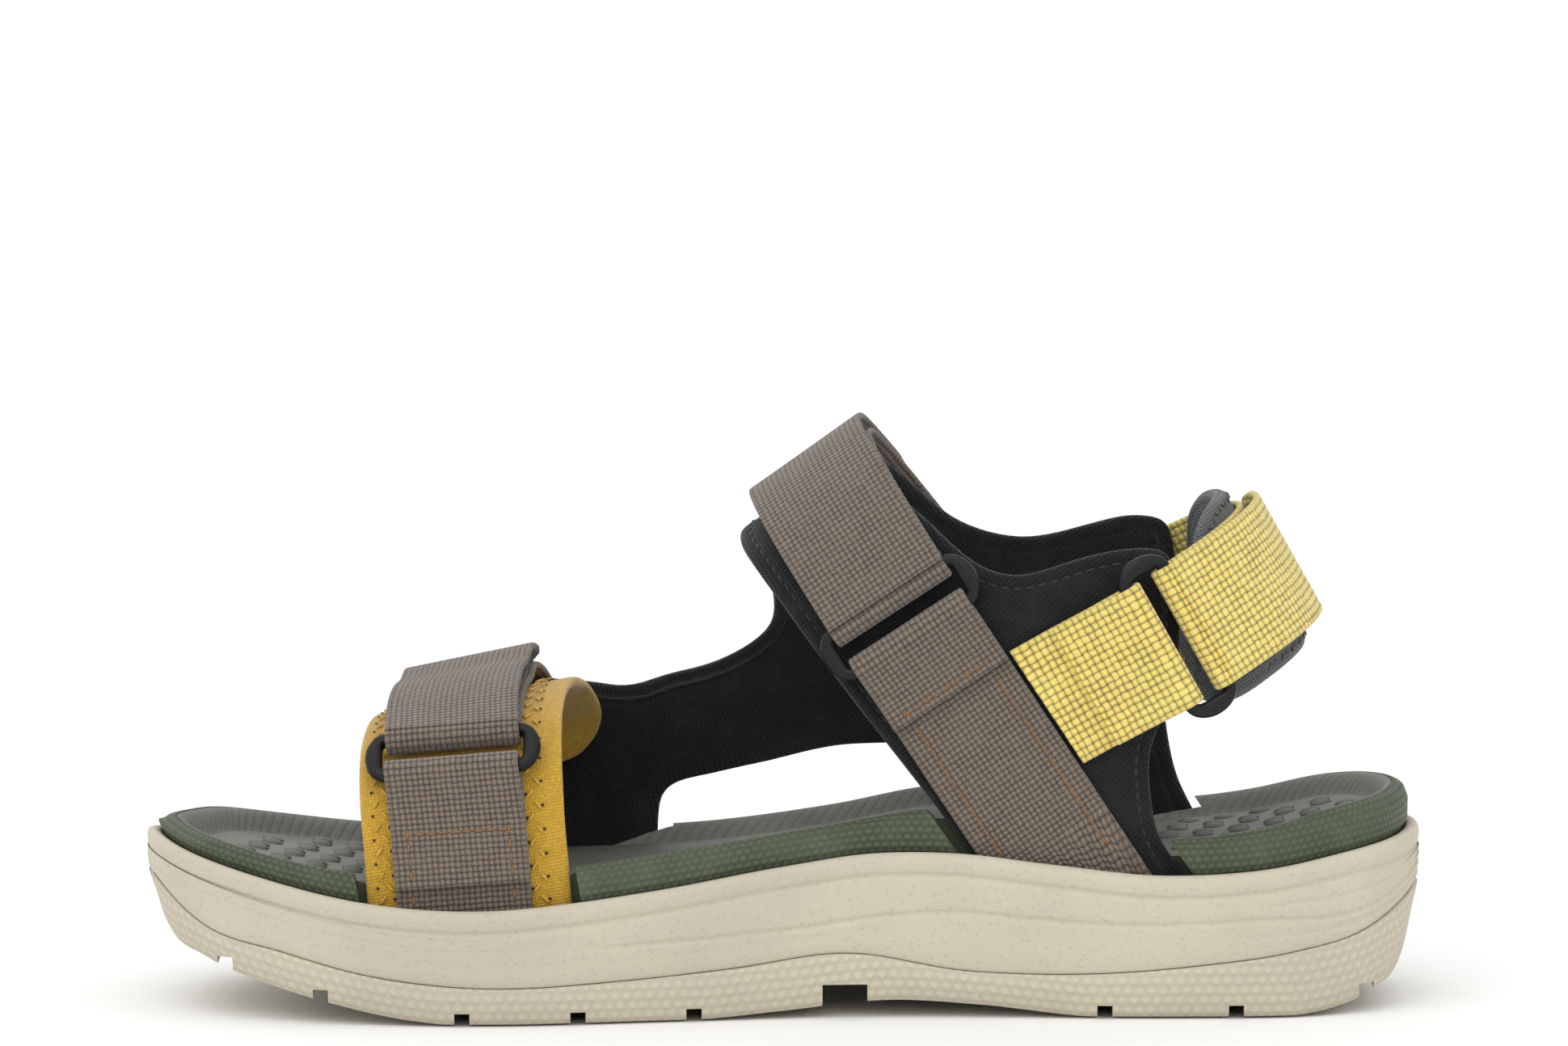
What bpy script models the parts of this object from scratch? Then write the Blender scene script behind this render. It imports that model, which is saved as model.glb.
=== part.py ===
"""Strappy sport sandal, right foot, as an assembly of separate pieces.

Row frame: +X runs from toe to heel, -Y is the medial (arch) side, +Z is up. The origin is under the
middle of the sole, on the ground. Sizes are in millimetres here, and become metres when a mesh is made.
"""

import math

import bmesh
import bpy
import numpy as np
from mathutils import Vector
from mathutils.geometry import delaunay_2d_cdt

MM = 0.001
GAP = 0.35  # air kept between pieces that touch on the real sandal

# Sole
SOLE_LENGTH = 285.0
FOREFOOT_WIDTH = 104.6
HEEL_WIDTH = 81.0
RIM_WALL = 3.2  # thickness of the midsole's lip round the footbed
CAVITY_DEPTH = 7.5  # how far the footbed sits down inside the lip
FOOTBED_RIM = 5.2  # width of the footbed's raised rim
FOOTBED_DISH = 4.0  # depth of the footbed's floor below its rim
TREAD_DEPTH = 2.8
TREAD_GROOVE = 3.4
ARCH_NOTCH_DEPTH = 4.6
ARCH_NOTCH = 10.0

# Upper
PANEL = 2.5  # thickness of the padded knit panels
WEBBING = 1.5
WEBBING_WIDTH = 30.0
LOOP_PATCH = 1.0
HOOK_PATCH = 0.8
PATCH_WIDTH = 26.0
FOREFOOT_PAD_WIDTH = 45.5
FOREFOOT_PAD_BACK = 1.0  # how far behind its strap's middle the pad's own middle is
HEEL_PAD = 4.0
HEEL_PAD_WIDTH = 40.0
FOREFOOT_TILT = 10.8  # degrees that each strap's width leans back from level
INSTEP_TILT = 35.4
HEEL_TILT = 29.4  # degrees that the heel strap rises towards the back
FOREFOOT_HEIGHT = 76.9  # the padding's inner face at each crest, square to the strap
INSTEP_HEIGHT = 88.5
HEEL_REACH = 137.8
FOREFOOT_STRAP_AT = -57.5  # where each strap's middle crosses its crest, along its width
INSTEP_STRAP_AT = 74.2
HEEL_STRAP_AT = 31.5
FOREFOOT_RING_DROP = 9.4  # from each crest down to its ring's middle
INSTEP_RING_DROP = 32.3
HEEL_RING_DROP = 22.3

# Oval rings that the straps run through
BAR_RADIUS = 1.5
BAR_SPREAD = 5.0  # from the ring's middle to each bar's axis
RING_END = 3.9  # how far each rounded end reaches past the slot
SLOT_CLEARANCE = 0.8  # each side of the webbing

BLACK = (0.013, 0.013, 0.015)
GREY = (0.06, 0.068, 0.07)
BROWN = (0.115, 0.09, 0.078)
MUSTARD = (0.56, 0.33, 0.03)
YELLOW = (0.68, 0.5, 0.1)
GREEN = (0.07, 0.1, 0.055)
CREAM = (0.62, 0.57, 0.45)


# ---------------------------------------------------------------- curves

def slopes(x, y):
    """Catmull-Rom slopes of y over x, one sided at the ends."""
    return np.gradient(y, x, axis=0)


def smooth(points):
    """A smooth function through (x, value) pairs, level past its ends."""
    x, y = np.array(points, float).T
    m = slopes(x, y)

    def value(at):
        at = np.clip(np.asarray(at, float), x[0], x[-1])
        i = np.clip(np.searchsorted(x, at) - 1, 0, len(x) - 2)
        h = x[i + 1] - x[i]
        t = (at - x[i]) / h
        return (
            (2 * t**3 - 3 * t**2 + 1) * y[i]
            + (t**3 - 2 * t**2 + t) * h * m[i]
            + (3 * t**2 - 2 * t**3) * y[i + 1]
            + (t**3 - t**2) * h * m[i + 1]
        )

    return value


def smooth_line(points, closed=False, steps=16, level=False):
    """A dense smooth polyline through points of any dimension. level keeps it from passing the points' own extremes."""
    p = np.array(points, float)
    if closed:
        p = np.vstack([p[-2:], p, p[:3]])
    knots = np.concatenate([[0], np.cumsum(np.sqrt(np.linalg.norm(np.diff(p, axis=0), axis=1)))])
    m = slopes(knots, p)
    if level:
        secant = np.diff(p, axis=0) / np.diff(knots)[:, None]
        before, after = np.vstack([secant[:1], secant]), np.vstack([secant, secant[-1:]])
        limit = 3 * np.minimum(np.abs(before), np.abs(after))
        m = np.where(before * after <= 0, 0.0, np.clip(m, -limit, limit))
    line = []
    for i in range(len(p) - 1):
        h = knots[i + 1] - knots[i]
        for t in np.arange(steps) / steps:
            line.append(
                (2 * t**3 - 3 * t**2 + 1) * p[i]
                + (t**3 - 2 * t**2 + t) * h * m[i]
                + (3 * t**2 - 2 * t**3) * p[i + 1]
                + (t**3 - t**2) * h * m[i + 1]
            )
    line = np.array(line + [p[-1]])
    return line[2 * steps : -3 * steps] if closed else line


def lengths(line):
    return np.concatenate([[0], np.cumsum(np.linalg.norm(np.diff(line, axis=0), axis=1))])


def resample(line, count, closed=False):
    line = np.vstack([line, line[:1]]) if closed else line
    s = lengths(line)
    at = np.linspace(0, s[-1], count + 1)[:-1] if closed else np.linspace(0, s[-1], count)
    return np.array([np.interp(at, s, line[:, k]) for k in range(line.shape[1])]).T


# ---------------------------------------------------------------- meshes

def material(name, colour, roughness):
    made = bpy.data.materials.get(name) or bpy.data.materials.new(name)
    made.use_nodes = True
    shader = made.node_tree.nodes["Principled BSDF"]
    shader.inputs["Base Color"].default_value = (*colour, 1.0)
    shader.inputs["Roughness"].default_value = roughness
    made.diffuse_color = (*colour, 1.0)
    return made


def piece(name, points, faces, finish, smooth_angle=40):
    mesh = bpy.data.meshes.new(name)
    mesh.from_pydata([tuple(np.asarray(p) * MM) for p in points], [], [tuple(map(int, f)) for f in faces])
    work = bmesh.new()
    work.from_mesh(mesh)
    bmesh.ops.remove_doubles(work, verts=work.verts, dist=1e-6)
    bmesh.ops.recalc_face_normals(work, faces=work.faces)
    work.to_mesh(mesh)
    work.free()
    mesh.shade_smooth()
    mesh.set_sharp_from_angle(angle=math.radians(smooth_angle))
    made = bpy.data.objects.new(name, mesh)
    bpy.context.scene.collection.objects.link(made)
    if finish:
        mesh.materials.append(material(*finish))
    return made


def cut(body, cutter):
    """Takes cutter out of body, and keeps the cutter as a hidden helper."""
    cutter.hide_render = True
    cutter.display_type = "WIRE"
    step = body.modifiers.new(cutter.name, "BOOLEAN")
    step.operation = "DIFFERENCE"
    step.solver = "EXACT"
    step.object = cutter


def box(name, low, high):
    """A box, for cutters, from its two corners."""
    (x0, y0, z0), (x1, y1, z1) = low, high
    points = [(x, y, z) for z in (z0, z1) for y in (y0, y1) for x in (x0, x1)]
    faces = [(0, 2, 3, 1), (4, 5, 7, 6), (0, 1, 5, 4), (2, 6, 7, 3), (0, 4, 6, 2), (1, 3, 7, 5)]
    return piece(name, points, faces, None)


# ---------------------------------------------------------------- sole

HALF = SOLE_LENGTH / 2
BALL = FOREFOOT_WIDTH / 2
HEEL = HEEL_WIDTH / 2
LOOP_POINTS = 72
ROW_CELLS = 6

# Plan of the sole: shares of the half length, and of the half width at the ball or the heel.
PLAN = [
    (-1.0 * HALF, -0.17 * BALL), (-0.94 * HALF, -0.62 * BALL), (-0.8 * HALF, -0.87 * BALL),
    (-0.62 * HALF, -0.98 * BALL), (-0.42 * HALF, -1.0 * BALL), (-0.2 * HALF, -0.89 * BALL),
    (0.06 * HALF, -0.985 * HEEL), (0.32 * HALF, -0.97 * HEEL), (0.6 * HALF, -1.0 * HEEL),
    (0.82 * HALF, -0.93 * HEEL), (0.95 * HALF, -0.63 * HEEL), (1.0 * HALF, -0.02 * HEEL),
    (0.955 * HALF, 0.6 * HEEL), (0.82 * HALF, 0.93 * HEEL), (0.6 * HALF, 1.01 * HEEL),
    (0.32 * HALF, 1.06 * HEEL), (0.06 * HALF, 0.9 * BALL), (-0.2 * HALF, 0.985 * BALL),
    (-0.42 * HALF, 1.0 * BALL), (-0.62 * HALF, 0.93 * BALL), (-0.8 * HALF, 0.75 * BALL),
    (-0.94 * HALF, 0.4 * BALL),
]

ground_line = smooth([
    (-HALF, 29), (-0.97 * HALF, 19.5), (-0.9 * HALF, 13), (-0.8 * HALF, 8), (-0.7 * HALF, 4.2),
    (-0.6 * HALF, 1.2), (-0.53 * HALF, 0), (-0.12 * HALF, 0), (0.0, 1.4), (0.17 * HALF, 3.6),
    (0.3 * HALF, 2.6), (0.47 * HALF, 0), (0.8 * HALF, 0), (0.86 * HALF, 1.4), (0.92 * HALF, 4.6),
    (0.97 * HALF, 11), (HALF, 25),
])
parting_line = smooth([
    (-HALF, 31), (-0.9 * HALF, 20.5), (-0.78 * HALF, 16), (-0.66 * HALF, 11.6), (-0.5 * HALF, 8.8),
    (-0.25 * HALF, 9.8), (-0.08 * HALF, 12), (0.1 * HALF, 15), (0.28 * HALF, 11), (0.48 * HALF, 10.2),
    (0.65 * HALF, 12), (0.8 * HALF, 15), (0.9 * HALF, 18.5), (HALF, 27),
])
lip_line = smooth([
    (-HALF, 39.5), (-0.92 * HALF, 36), (-0.8 * HALF, 31.5), (-0.65 * HALF, 27.1), (-0.47 * HALF, 25.6),
    (-0.33 * HALF, 27.2), (-0.2 * HALF, 29.8), (0.0, 35), (0.14 * HALF, 37.8), (0.26 * HALF, 37.6),
    (0.42 * HALF, 34.6), (0.6 * HALF, 31.9), (0.74 * HALF, 32.9), (0.88 * HALF, 36.4), (HALF, 39.4),
])
bed_line = smooth([
    (-HALF, 43.6), (-0.92 * HALF, 40.5), (-0.8 * HALF, 36.4), (-0.65 * HALF, 33), (-0.48 * HALF, 32.6),
    (-0.33 * HALF, 34.9), (-0.13 * HALF, 39.2), (0.08 * HALF, 44.2), (0.22 * HALF, 47.2),
    (0.4 * HALF, 44.6), (0.6 * HALF, 39.6), (0.74 * HALF, 41.6), (0.86 * HALF, 45.9), (HALF, 49),
])
# The lateral side has less arch than the medial side.
arch_drop = smooth([
    (-0.55 * HALF, 0), (-0.35 * HALF, 3.5), (-0.1 * HALF, 7.2), (0.15 * HALF, 7.4), (0.4 * HALF, 3.2), (0.62 * HALF, 0),
])

outline = resample(smooth_line(PLAN, closed=True), LOOP_POINTS * 8, closed=True)
outline = np.roll(outline, -int(np.argmin(outline[:, 0])), axis=0)


def normals_2d(loop):
    along = np.roll(loop, -1, axis=0) - np.roll(loop, 1, axis=0)
    out = np.stack([along[:, 1], -along[:, 0]], axis=1)
    return out / np.linalg.norm(out, axis=1, keepdims=True)


def inset(distance, count=LOOP_POINTS):
    """The plan outline moved inwards, as a loop that starts at the toe and runs down the medial side."""
    moved = outline - normals_2d(outline) * distance
    return moved[:: len(outline) // count]


def side_share(y):
    """0 on the medial edge and 1 on the lateral edge."""
    return np.clip(0.5 + np.asarray(y) / FOREFOOT_WIDTH, 0, 1)


def with_drop(line, share=1.0):
    """A height over the plan, lowered on the lateral side where the arch is."""
    return lambda x, y: line(x) - share * arch_drop(x) * side_share(y)


lip = with_drop(lip_line)
bed = with_drop(bed_line)
parting = with_drop(parting_line, 0.3)


def ground(x, y):
    return np.maximum(ground_line(x), 0) + 0 * np.asarray(y)


def cavity_floor(x, y):
    return lip(x, y) - CAVITY_DEPTH


def raised(height, by):
    return lambda x, y: height(x, y) + by


def loop_at(distance, height):
    flat = inset(distance)
    return np.column_stack([flat, height(flat[:, 0], flat[:, 1])])


def lidded(loops, bottom, top):
    """A closed solid from a stack of loops, with its two ends filled by rows that follow a height."""
    count = len(loops[0])
    points = [tuple(p) for loop in loops for p in loop]
    faces = []
    for level in range(len(loops) - 1):
        for i in range(count):
            j = (i + 1) % count
            a, b = level * count, (level + 1) * count
            faces.append((a + i, a + j, b + j, b + i))

    def lid(level, height):
        loop = loops[level]
        rows = []
        for i in range(1, count // 2):
            near, far = loop[i], loop[count - i]
            row = [level * count + i]
            for k in range(1, ROW_CELLS):
                x, y = near[:2] + (far[:2] - near[:2]) * k / ROW_CELLS
                points.append((x, y, float(height(x, y))))
                row.append(len(points) - 1)
            rows.append(row + [level * count + count - i])
        for a, b in zip(rows, rows[1:]):
            faces.extend((a[k], b[k], b[k + 1], a[k + 1]) for k in range(ROW_CELLS))
        for tip, row in ((level * count, rows[0]), (level * count + count // 2, rows[-1])):
            faces.extend((tip, row[k], row[k + 1]) for k in range(ROW_CELLS))

    lid(0, bottom)
    lid(len(loops) - 1, top)
    return points, faces


def build_outsole():
    loops = [
        loop_at(4.2, ground),
        loop_at(1.6, raised(ground, 1.6)),
        loop_at(0.4, lambda x, y: ground(x, y) * 0.45 + parting(x, y) * 0.55),
        loop_at(0.5, raised(parting, -GAP)),
    ]
    body = piece("outsole", *lidded(loops, ground, raised(parting, -GAP)), ("outsole_rubber", CREAM, 0.8))
    body.modifiers.new("facets", "TRIANGULATE")
    for number, share in enumerate((-0.87, -0.72, -0.5, -0.32, -0.14, 0.095, 0.5, 0.705, 0.91)):
        x = share * HALF
        floor = float(ground(x, 0))
        wide, deep = (ARCH_NOTCH, ARCH_NOTCH_DEPTH) if share == 0.095 else (TREAD_GROOVE, TREAD_DEPTH)
        low = (x - wide / 2, -BALL - 5, floor - 6)
        high = (x + wide / 2, BALL + 5, floor + deep)
        cut(body, box(f"tread_cutter_{number}", low, high))


def build_midsole():
    loops = [
        loop_at(0.5, parting),
        loop_at(0.0, lambda x, y: parting(x, y) * 0.6 + lip(x, y) * 0.4),
        loop_at(0.2, raised(lip, -2.0)),
        loop_at(1.2, lip),
        loop_at(RIM_WALL - 0.6, lip),
        loop_at(RIM_WALL, raised(lip, -1.0)),
        loop_at(RIM_WALL, cavity_floor),
    ]
    piece("midsole", *lidded(loops, parting, cavity_floor), ("midsole_foam", CREAM, 0.7))


def footbed_floor(x, y):
    return bed(x, y) - FOOTBED_DISH


def build_footbed():
    edge = RIM_WALL + GAP
    loops = [
        loop_at(edge, raised(cavity_floor, GAP)),
        loop_at(edge, raised(lip, -0.5)),
        loop_at(edge - 0.0, raised(bed, -3.0)),
        loop_at(edge + 1.2, raised(bed, -0.6)),
        loop_at(edge + 2.6, bed),
        loop_at(edge + FOOTBED_RIM - 0.8, raised(bed, -0.8)),
        loop_at(edge + FOOTBED_RIM + 1.0, footbed_floor),
    ]
    solid = lidded(loops, raised(cavity_floor, GAP), footbed_floor)
    return piece("footbed", *solid, ("footbed_foam", GREEN, 0.55))


# ---------------------------------------------------------------- upper forms

STACK = PANEL + WEBBING + 2 * GAP  # what the lip has to clear on the medial side
OVERLAY = PANEL + 1.4 * GAP  # the lateral upper lies this far out, over the padding inside it
LIFT = PANEL + 2 * GAP  # the straps ride this much higher where they cross the lateral upper
SEAT = RIM_WALL + GAP + 0.3


def unit(v):
    return v / np.linalg.norm(v)


def edge_y(x, side):
    """The plan outline's y at x, on one side."""
    tip = int(np.argmax(outline[:, 0]))
    half = outline[: tip + 1] if side < 0 else outline[tip:][::-1]
    return float(np.interp(x, half[:, 0], half[:, 1]))


class Form:
    """A tunnel round the foot: a profile across it, carried along a straight line.

    along is measured on that line, and girth from the crest round the profile, positive to the lateral side.
    """

    def __init__(self, tilt, upside, profile, walls, nominal, narrowed_by=None):
        self.upside = upside
        self.narrowed_by = narrowed_by
        a = math.radians(tilt)
        self.across = np.array([math.cos(a), 0.0, math.sin(a)])
        self.rise = np.array([-math.sin(a), 0.0, math.cos(a)]) * upside
        self.walls = walls  # per side: (along, y) at two places
        line = smooth_line([(u * nominal, c) for u, c in profile], level=True)
        s = lengths(line)
        self.s = s - s[int(np.argmax(line[:, 1]))]
        self.u = line[:, 0] / nominal
        self.c = line[:, 1]

    def wall(self, along, side):
        (a0, y0), (a1, y1) = self.walls[side]
        return y0 + (y1 - y0) * (along - a0) / (a1 - a0)

    def at(self, along, girth):
        over = girth - min(max(girth, self.s[0]), self.s[-1])
        g = girth - over
        u = float(np.interp(g, self.s, self.u))
        c = float(np.interp(g, self.s, self.c)) - abs(over)
        y = abs(u) * self.wall(along, -1 if u < 0 else 1)
        p = self.across * along + self.rise * c
        if self.narrowed_by:
            y *= self.narrowed_by.share(float(p @ self.narrowed_by.rise))
        return p + np.array([0.0, y, 0.0])

    def share(self, c):
        """How much of the wall's y is left at height c."""
        pick = self.s >= 0
        return float(np.interp(c, self.c[pick][::-1], self.u[pick][::-1]))

    def girth_of(self, c, side):
        """The girth where one side of the profile is at height c."""
        pick = self.s <= 0 if side < 0 else self.s >= 0
        cs, ss = self.c[pick], self.s[pick]
        if side > 0:
            cs, ss = cs[::-1], ss[::-1]
        return float(np.interp(c, cs, ss))

    def locate(self, x, z, side):
        along = x * self.across[0] + z * self.across[2]
        return along, self.girth_of(x * self.rise[0] + z * self.rise[2], side)


class Blend:
    """The lateral upper's form: the forefoot tunnel, run smoothly into the ankle tunnel. along is 0 to 1 between them."""

    def __init__(self, fore, rear, fore_end, rear_start):
        self.upside = 1
        self.fore, self.rear = fore, rear
        self.fore_end, self.rear_start = fore_end, rear_start
        self.stride = 45.0

    def at(self, along, girth):
        t = min(max(along, 0.0), 1.0)
        w = t * t * (3 - 2 * t)
        a = self.fore.at(self.fore_end + along * self.stride, girth)
        b = self.rear.at(self.rear_start + (along - 1) * self.stride, girth)
        return a * (1 - w) + b * w

    def locate(self, x, z, side):
        found = None
        for along in np.linspace(-1.6, 3.2, 49):
            for girth in np.linspace(4, 130, 43) * side:
                p = self.at(along, girth)
                miss = math.hypot(p[0] - x, p[2] - z)
                if found is None or miss < found[0]:
                    found = (miss, along, girth)
        _, along, girth = found
        step_a, step_g = 0.05, 1.5
        while step_g > 0.01:
            tries = [
                (along + i * step_a, girth + j * step_g) for i in (-1, 0, 1) for j in (-1, 0, 1)
            ]
            along, girth = min(tries, key=lambda q: math.hypot(self.at(*q)[0] - x, self.at(*q)[2] - z))
            step_a, step_g = step_a * 0.6, step_g * 0.6
        return along, girth


def off(form, along, girth, height):
    """The point that far outside the form."""
    p = form.at(along, girth)
    da = 0.5 if isinstance(form, Form) else 0.01
    across = form.at(along + da, girth) - form.at(along - da, girth)
    round_ = form.at(along, girth + 0.6) - form.at(along, girth - 0.6)
    return p + unit(np.cross(across, round_)) * height * form.upside


FORE_FRONT, FORE_REAR = -93.0, -34.0  # where the forefoot's pieces enter the sole
ANKLE_FRONT, ANKLE_REAR = 41.0, 87.0


def fore_walls():
    walls = {}
    for side, stack in ((-1, STACK), (1, STACK + LIFT)):
        ends = []
        for x in (FORE_FRONT, FORE_REAR if side > 0 else -47.0):
            along = x * math.cos(math.radians(FOREFOOT_TILT)) + 27 * math.sin(math.radians(FOREFOOT_TILT))
            ends.append((along, edge_y(x, side) - side * (SEAT + stack)))
        walls[side] = ends
    return walls


def ankle_walls():
    walls = {}
    for side, stack in ((-1, STACK), (1, STACK + LIFT)):
        y = min(abs(edge_y(x, side)) for x in (ANKLE_FRONT, ANKLE_REAR)) - SEAT - stack
        walls[side] = [(0.0, side * y), (1.0, side * y)]
    return walls


def profile(top, shoulders, low, lean=0.0):
    """(share of the wall's y, height) pairs, from the medial wall over the crest to the lateral wall."""
    left = [(-1.0, low)] + [(-u - lean * (1 - u), top - d) for u, d in shoulders[::-1]]
    right = [(u - lean * (1 - u), top - d) for u, d in shoulders] + [(1.0, low)]
    return left + [(-lean, top)] + right


FORE = Form(
    FOREFOOT_TILT, 1,
    profile(FOREFOOT_HEIGHT, [(0.32, 1.3), (0.62, 5.2), (0.86, 13.0), (0.97, 23.0), (1.0, 34.0)], 12.0, 0.12),
    fore_walls(), 42.0,
)
HEELS = Form(
    90 + HEEL_TILT, -1,
    profile(HEEL_REACH, [(0.36, 1.9), (0.68, 7.8), (0.92, 18.5), (1.0, 31.0)], 45.0),
    ankle_walls(), 31.0,
)
ANKLE = Form(
    INSTEP_TILT, 1,
    profile(INSTEP_HEIGHT, [(0.36, 3.6), (0.68, 13.5), (0.89, 29.0), (0.985, 46.0), (1.0, 66.0)], -45.0),
    ankle_walls(), 31.0, HEELS,
)
LATERAL = Blend(FORE, ANKLE, -25.0, 52.0)


def foot_girth(form, along, side, height):
    """The girth where a piece's tail meets the cavity's floor, less the clearance."""
    low, high = form.girth_of(form.c[0], side) * 1.0, 0.0
    for _ in range(40):
        mid = (low + high) / 2
        p = off(form, along, mid, height)
        if p[2] > float(cavity_floor(p[0], p[1])) + GAP:
            high = mid
        else:
            low = mid
    return high


# ---------------------------------------------------------------- webbing

class Path:
    """A strap's middle line on a form: along = start + slope * girth. Stations are pairs of edge points."""

    def __init__(self, form, start, slope, ring_drop, bar_height):
        self.form, self.start, self.slope = form, start, slope
        self.turn = math.atan(slope)
        self.ring_girth = form.girth_of(max(form.c) - ring_drop, -1)
        p, q = self.edges(self.ring_girth, bar_height, WEBBING_WIDTH)
        self.origin = (p + q) / 2
        self.w = unit(q - p)
        ahead = self.edges(self.ring_girth + 1, bar_height, 1)[0] - self.edges(self.ring_girth - 1, bar_height, 1)[0]
        self.d = unit(ahead - self.w * (ahead @ self.w))
        self.n = np.cross(self.w, self.d) * form.upside
        self.low_bar = self.origin - self.d * BAR_SPREAD
        self.high_bar = self.origin + self.d * BAR_SPREAD

    def edge(self, girth, height, t):
        along = self.start + self.slope * girth + t * math.cos(self.turn)
        return off(self.form, along, girth - t * math.sin(self.turn), height)

    def edges(self, girth, height, width):
        return self.edge(girth, height, -width / 2), self.edge(girth, height, width / 2)

    def near(self, middle, width=WEBBING_WIDTH):
        """A station square to the ring, at a point given in the ring's own axes."""
        return middle - self.w * width / 2, middle + self.w * width / 2

    def arc(self, bar, angles, radius):
        return [
            self.near(bar + self.d * radius * math.cos(math.radians(a)) + self.n * radius * math.sin(math.radians(a)))
            for a in angles
        ]

    def tail(self, side, height):
        """The slanted end that stands on the cavity's floor, and the girth of the first square station above it."""
        ends, girths = [], []
        for t in (-WEBBING_WIDTH / 2, WEBBING_WIDTH / 2):
            guess = side * 80.0
            for _ in range(6):
                along = self.start + self.slope * guess + t * math.cos(self.turn)
                guess = foot_girth(self.form, along, side, height)
            ends.append(off(self.form, along, guess, height))
            girths.append(guess + t * math.sin(self.turn))
        first = (max if side < 0 else min)(girths) - side * 2.5
        return tuple(ends), first


TURN = BAR_RADIUS + GAP + WEBBING / 2  # the webbing's middle, round a bar


def layer(under, thickness):
    """The middle height of a layer that lies on top of one whose outer face is at under."""
    return under + GAP + thickness / 2


BASE = layer(PANEL, WEBBING)
DOUBLE = layer(BASE + WEBBING / 2, WEBBING)
LOOP = layer(BASE + WEBBING / 2, LOOP_PATCH)
HOOK = layer(LOOP + LOOP_PATCH / 2, HOOK_PATCH)
TAB = layer(HOOK + HOOK_PATCH / 2, WEBBING)
HEEL_BASE = layer(HEEL_PAD, WEBBING)
HEEL_RISE = HEEL_BASE - BASE

FORE_PATH = Path(FORE, FOREFOOT_STRAP_AT, 0.113, FOREFOOT_RING_DROP, BASE + TURN)
INSTEP_PATH = Path(ANKLE, INSTEP_STRAP_AT, 0.035, INSTEP_RING_DROP, BASE + TURN)
HEEL_PATH = Path(HEELS, HEEL_STRAP_AT, 0.0, HEEL_RING_DROP, HEEL_BASE + TURN)


def ribbon(name, stations, thickness, finish, smooth_angle=40):
    """A flat band of one thickness through pairs of edge points."""
    left = np.array([s[0] for s in stations])
    right = np.array([s[1] for s in stations])
    middle = (left + right) / 2
    along = np.gradient(middle, axis=0, edge_order=2)
    face = np.cross(along, right - left)
    face /= np.linalg.norm(face, axis=1, keepdims=True)
    half = face * thickness / 2
    rings = np.stack([left - half, right - half, right + half, left + half], axis=1)
    count = len(rings)
    faces = [(0, 1, 2, 3), tuple(4 * (count - 1) + k for k in (3, 2, 1, 0))]
    for i in range(count - 1):
        faces.extend((4 * i + k, 4 * i + 4 + k, 4 * i + 4 + (k + 1) % 4, 4 * i + (k + 1) % 4) for k in range(4))
    return piece(name, rings.reshape(-1, 3), faces, finish, smooth_angle)


def steps(a, b, size=6.0):
    return np.linspace(a, b, max(2, int(abs(b - a) / size) + 2))


def eased(girth, start, end):
    t = min(max((girth - start) / (end - start), 0.0), 1.0)
    return t * t * (3 - 2 * t)


def rounded(path, stations, width, corner, at_start=False, at_end=True):
    """Stations along a band whose free ends have rounded corners. stations are (girth, height)."""
    girths = [g for g, _ in stations]
    heights = [h for _, h in stations]
    order = 1 if girths[-1] > girths[0] else -1
    extra = [0.0, 0.13, 0.35, 0.65, 1.0]
    marks = [g for g in girths]
    if at_start:
        marks = [girths[0] + order * corner * e for e in extra] + [g for g in girths if order * (g - girths[0]) > corner * 1.2]
    if at_end:
        marks = [g for g in marks if order * (girths[-1] - g) > corner * 1.2]
        marks += [girths[-1] - order * corner * e for e in extra[::-1]]
    pairs = []
    for g in marks:
        inset_by = 0.0
        for used, end in ((at_start, girths[0]), (at_end, girths[-1])):
            reach = abs(g - end)
            if used and reach < corner:
                inset_by = max(inset_by, corner - math.sqrt(max(0.0, corner**2 - (corner - reach) ** 2)))
        height = float(np.interp(g * order, [q * order for q in girths], heights))
        pairs.append(path.edges(g, height, width - 2 * inset_by))
    return pairs


def oval_ring(name, path):
    """A flat ring with a round bar each side of its slot, and a rounded end past each end of the slot."""
    slot = WEBBING_WIDTH / 2 + SLOT_CLEARANCE
    inner_half = BAR_SPREAD - BAR_RADIUS
    outer_half = BAR_SPREAD + BAR_RADIUS
    reach = slot + RING_END
    inner, outer = [], []
    for x in (slot - 1.0, slot * 0.5, 0.0, -slot * 0.5, -slot + 1.0):
        inner.append((x, inner_half))
        outer.append((x, outer_half))
    for k in range(1, 8):
        a = math.pi / 2 + math.pi * k / 8
        r = (abs(math.cos(a)) ** 4 + abs(math.sin(a)) ** 4) ** -0.25
        inner.append((-slot + 1.0 + math.cos(a) * r * 1.0, math.sin(a) * r * inner_half))
        outer.append((-slot + 1.0 + math.cos(a) * (reach - slot + 1.0), math.sin(a) * outer_half))
    inner += [(-x, -y) for x, y in inner]
    outer += [(-x, -y) for x, y in outer]
    points, faces, around = [], [], 10
    for (ix, iy), (ox, oy) in zip(inner, outer):
        for k in range(around):
            a = 2 * math.pi * k / around
            share = (1 + math.cos(a)) / 2
            x, y = ix + (ox - ix) * share, iy + (oy - iy) * share
            points.append(path.origin + path.w * x + path.d * y + path.n * BAR_RADIUS * math.sin(a))
    count = len(inner)
    for i in range(count):
        j = (i + 1) % count
        faces.extend(
            (i * around + k, j * around + k, j * around + (k + 1) % around, i * around + (k + 1) % around)
            for k in range(around)
        )
    return piece(name, points, faces, ("ring_plastic", BLACK, 0.3), 50)


# ---------------------------------------------------------------- panels

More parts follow.
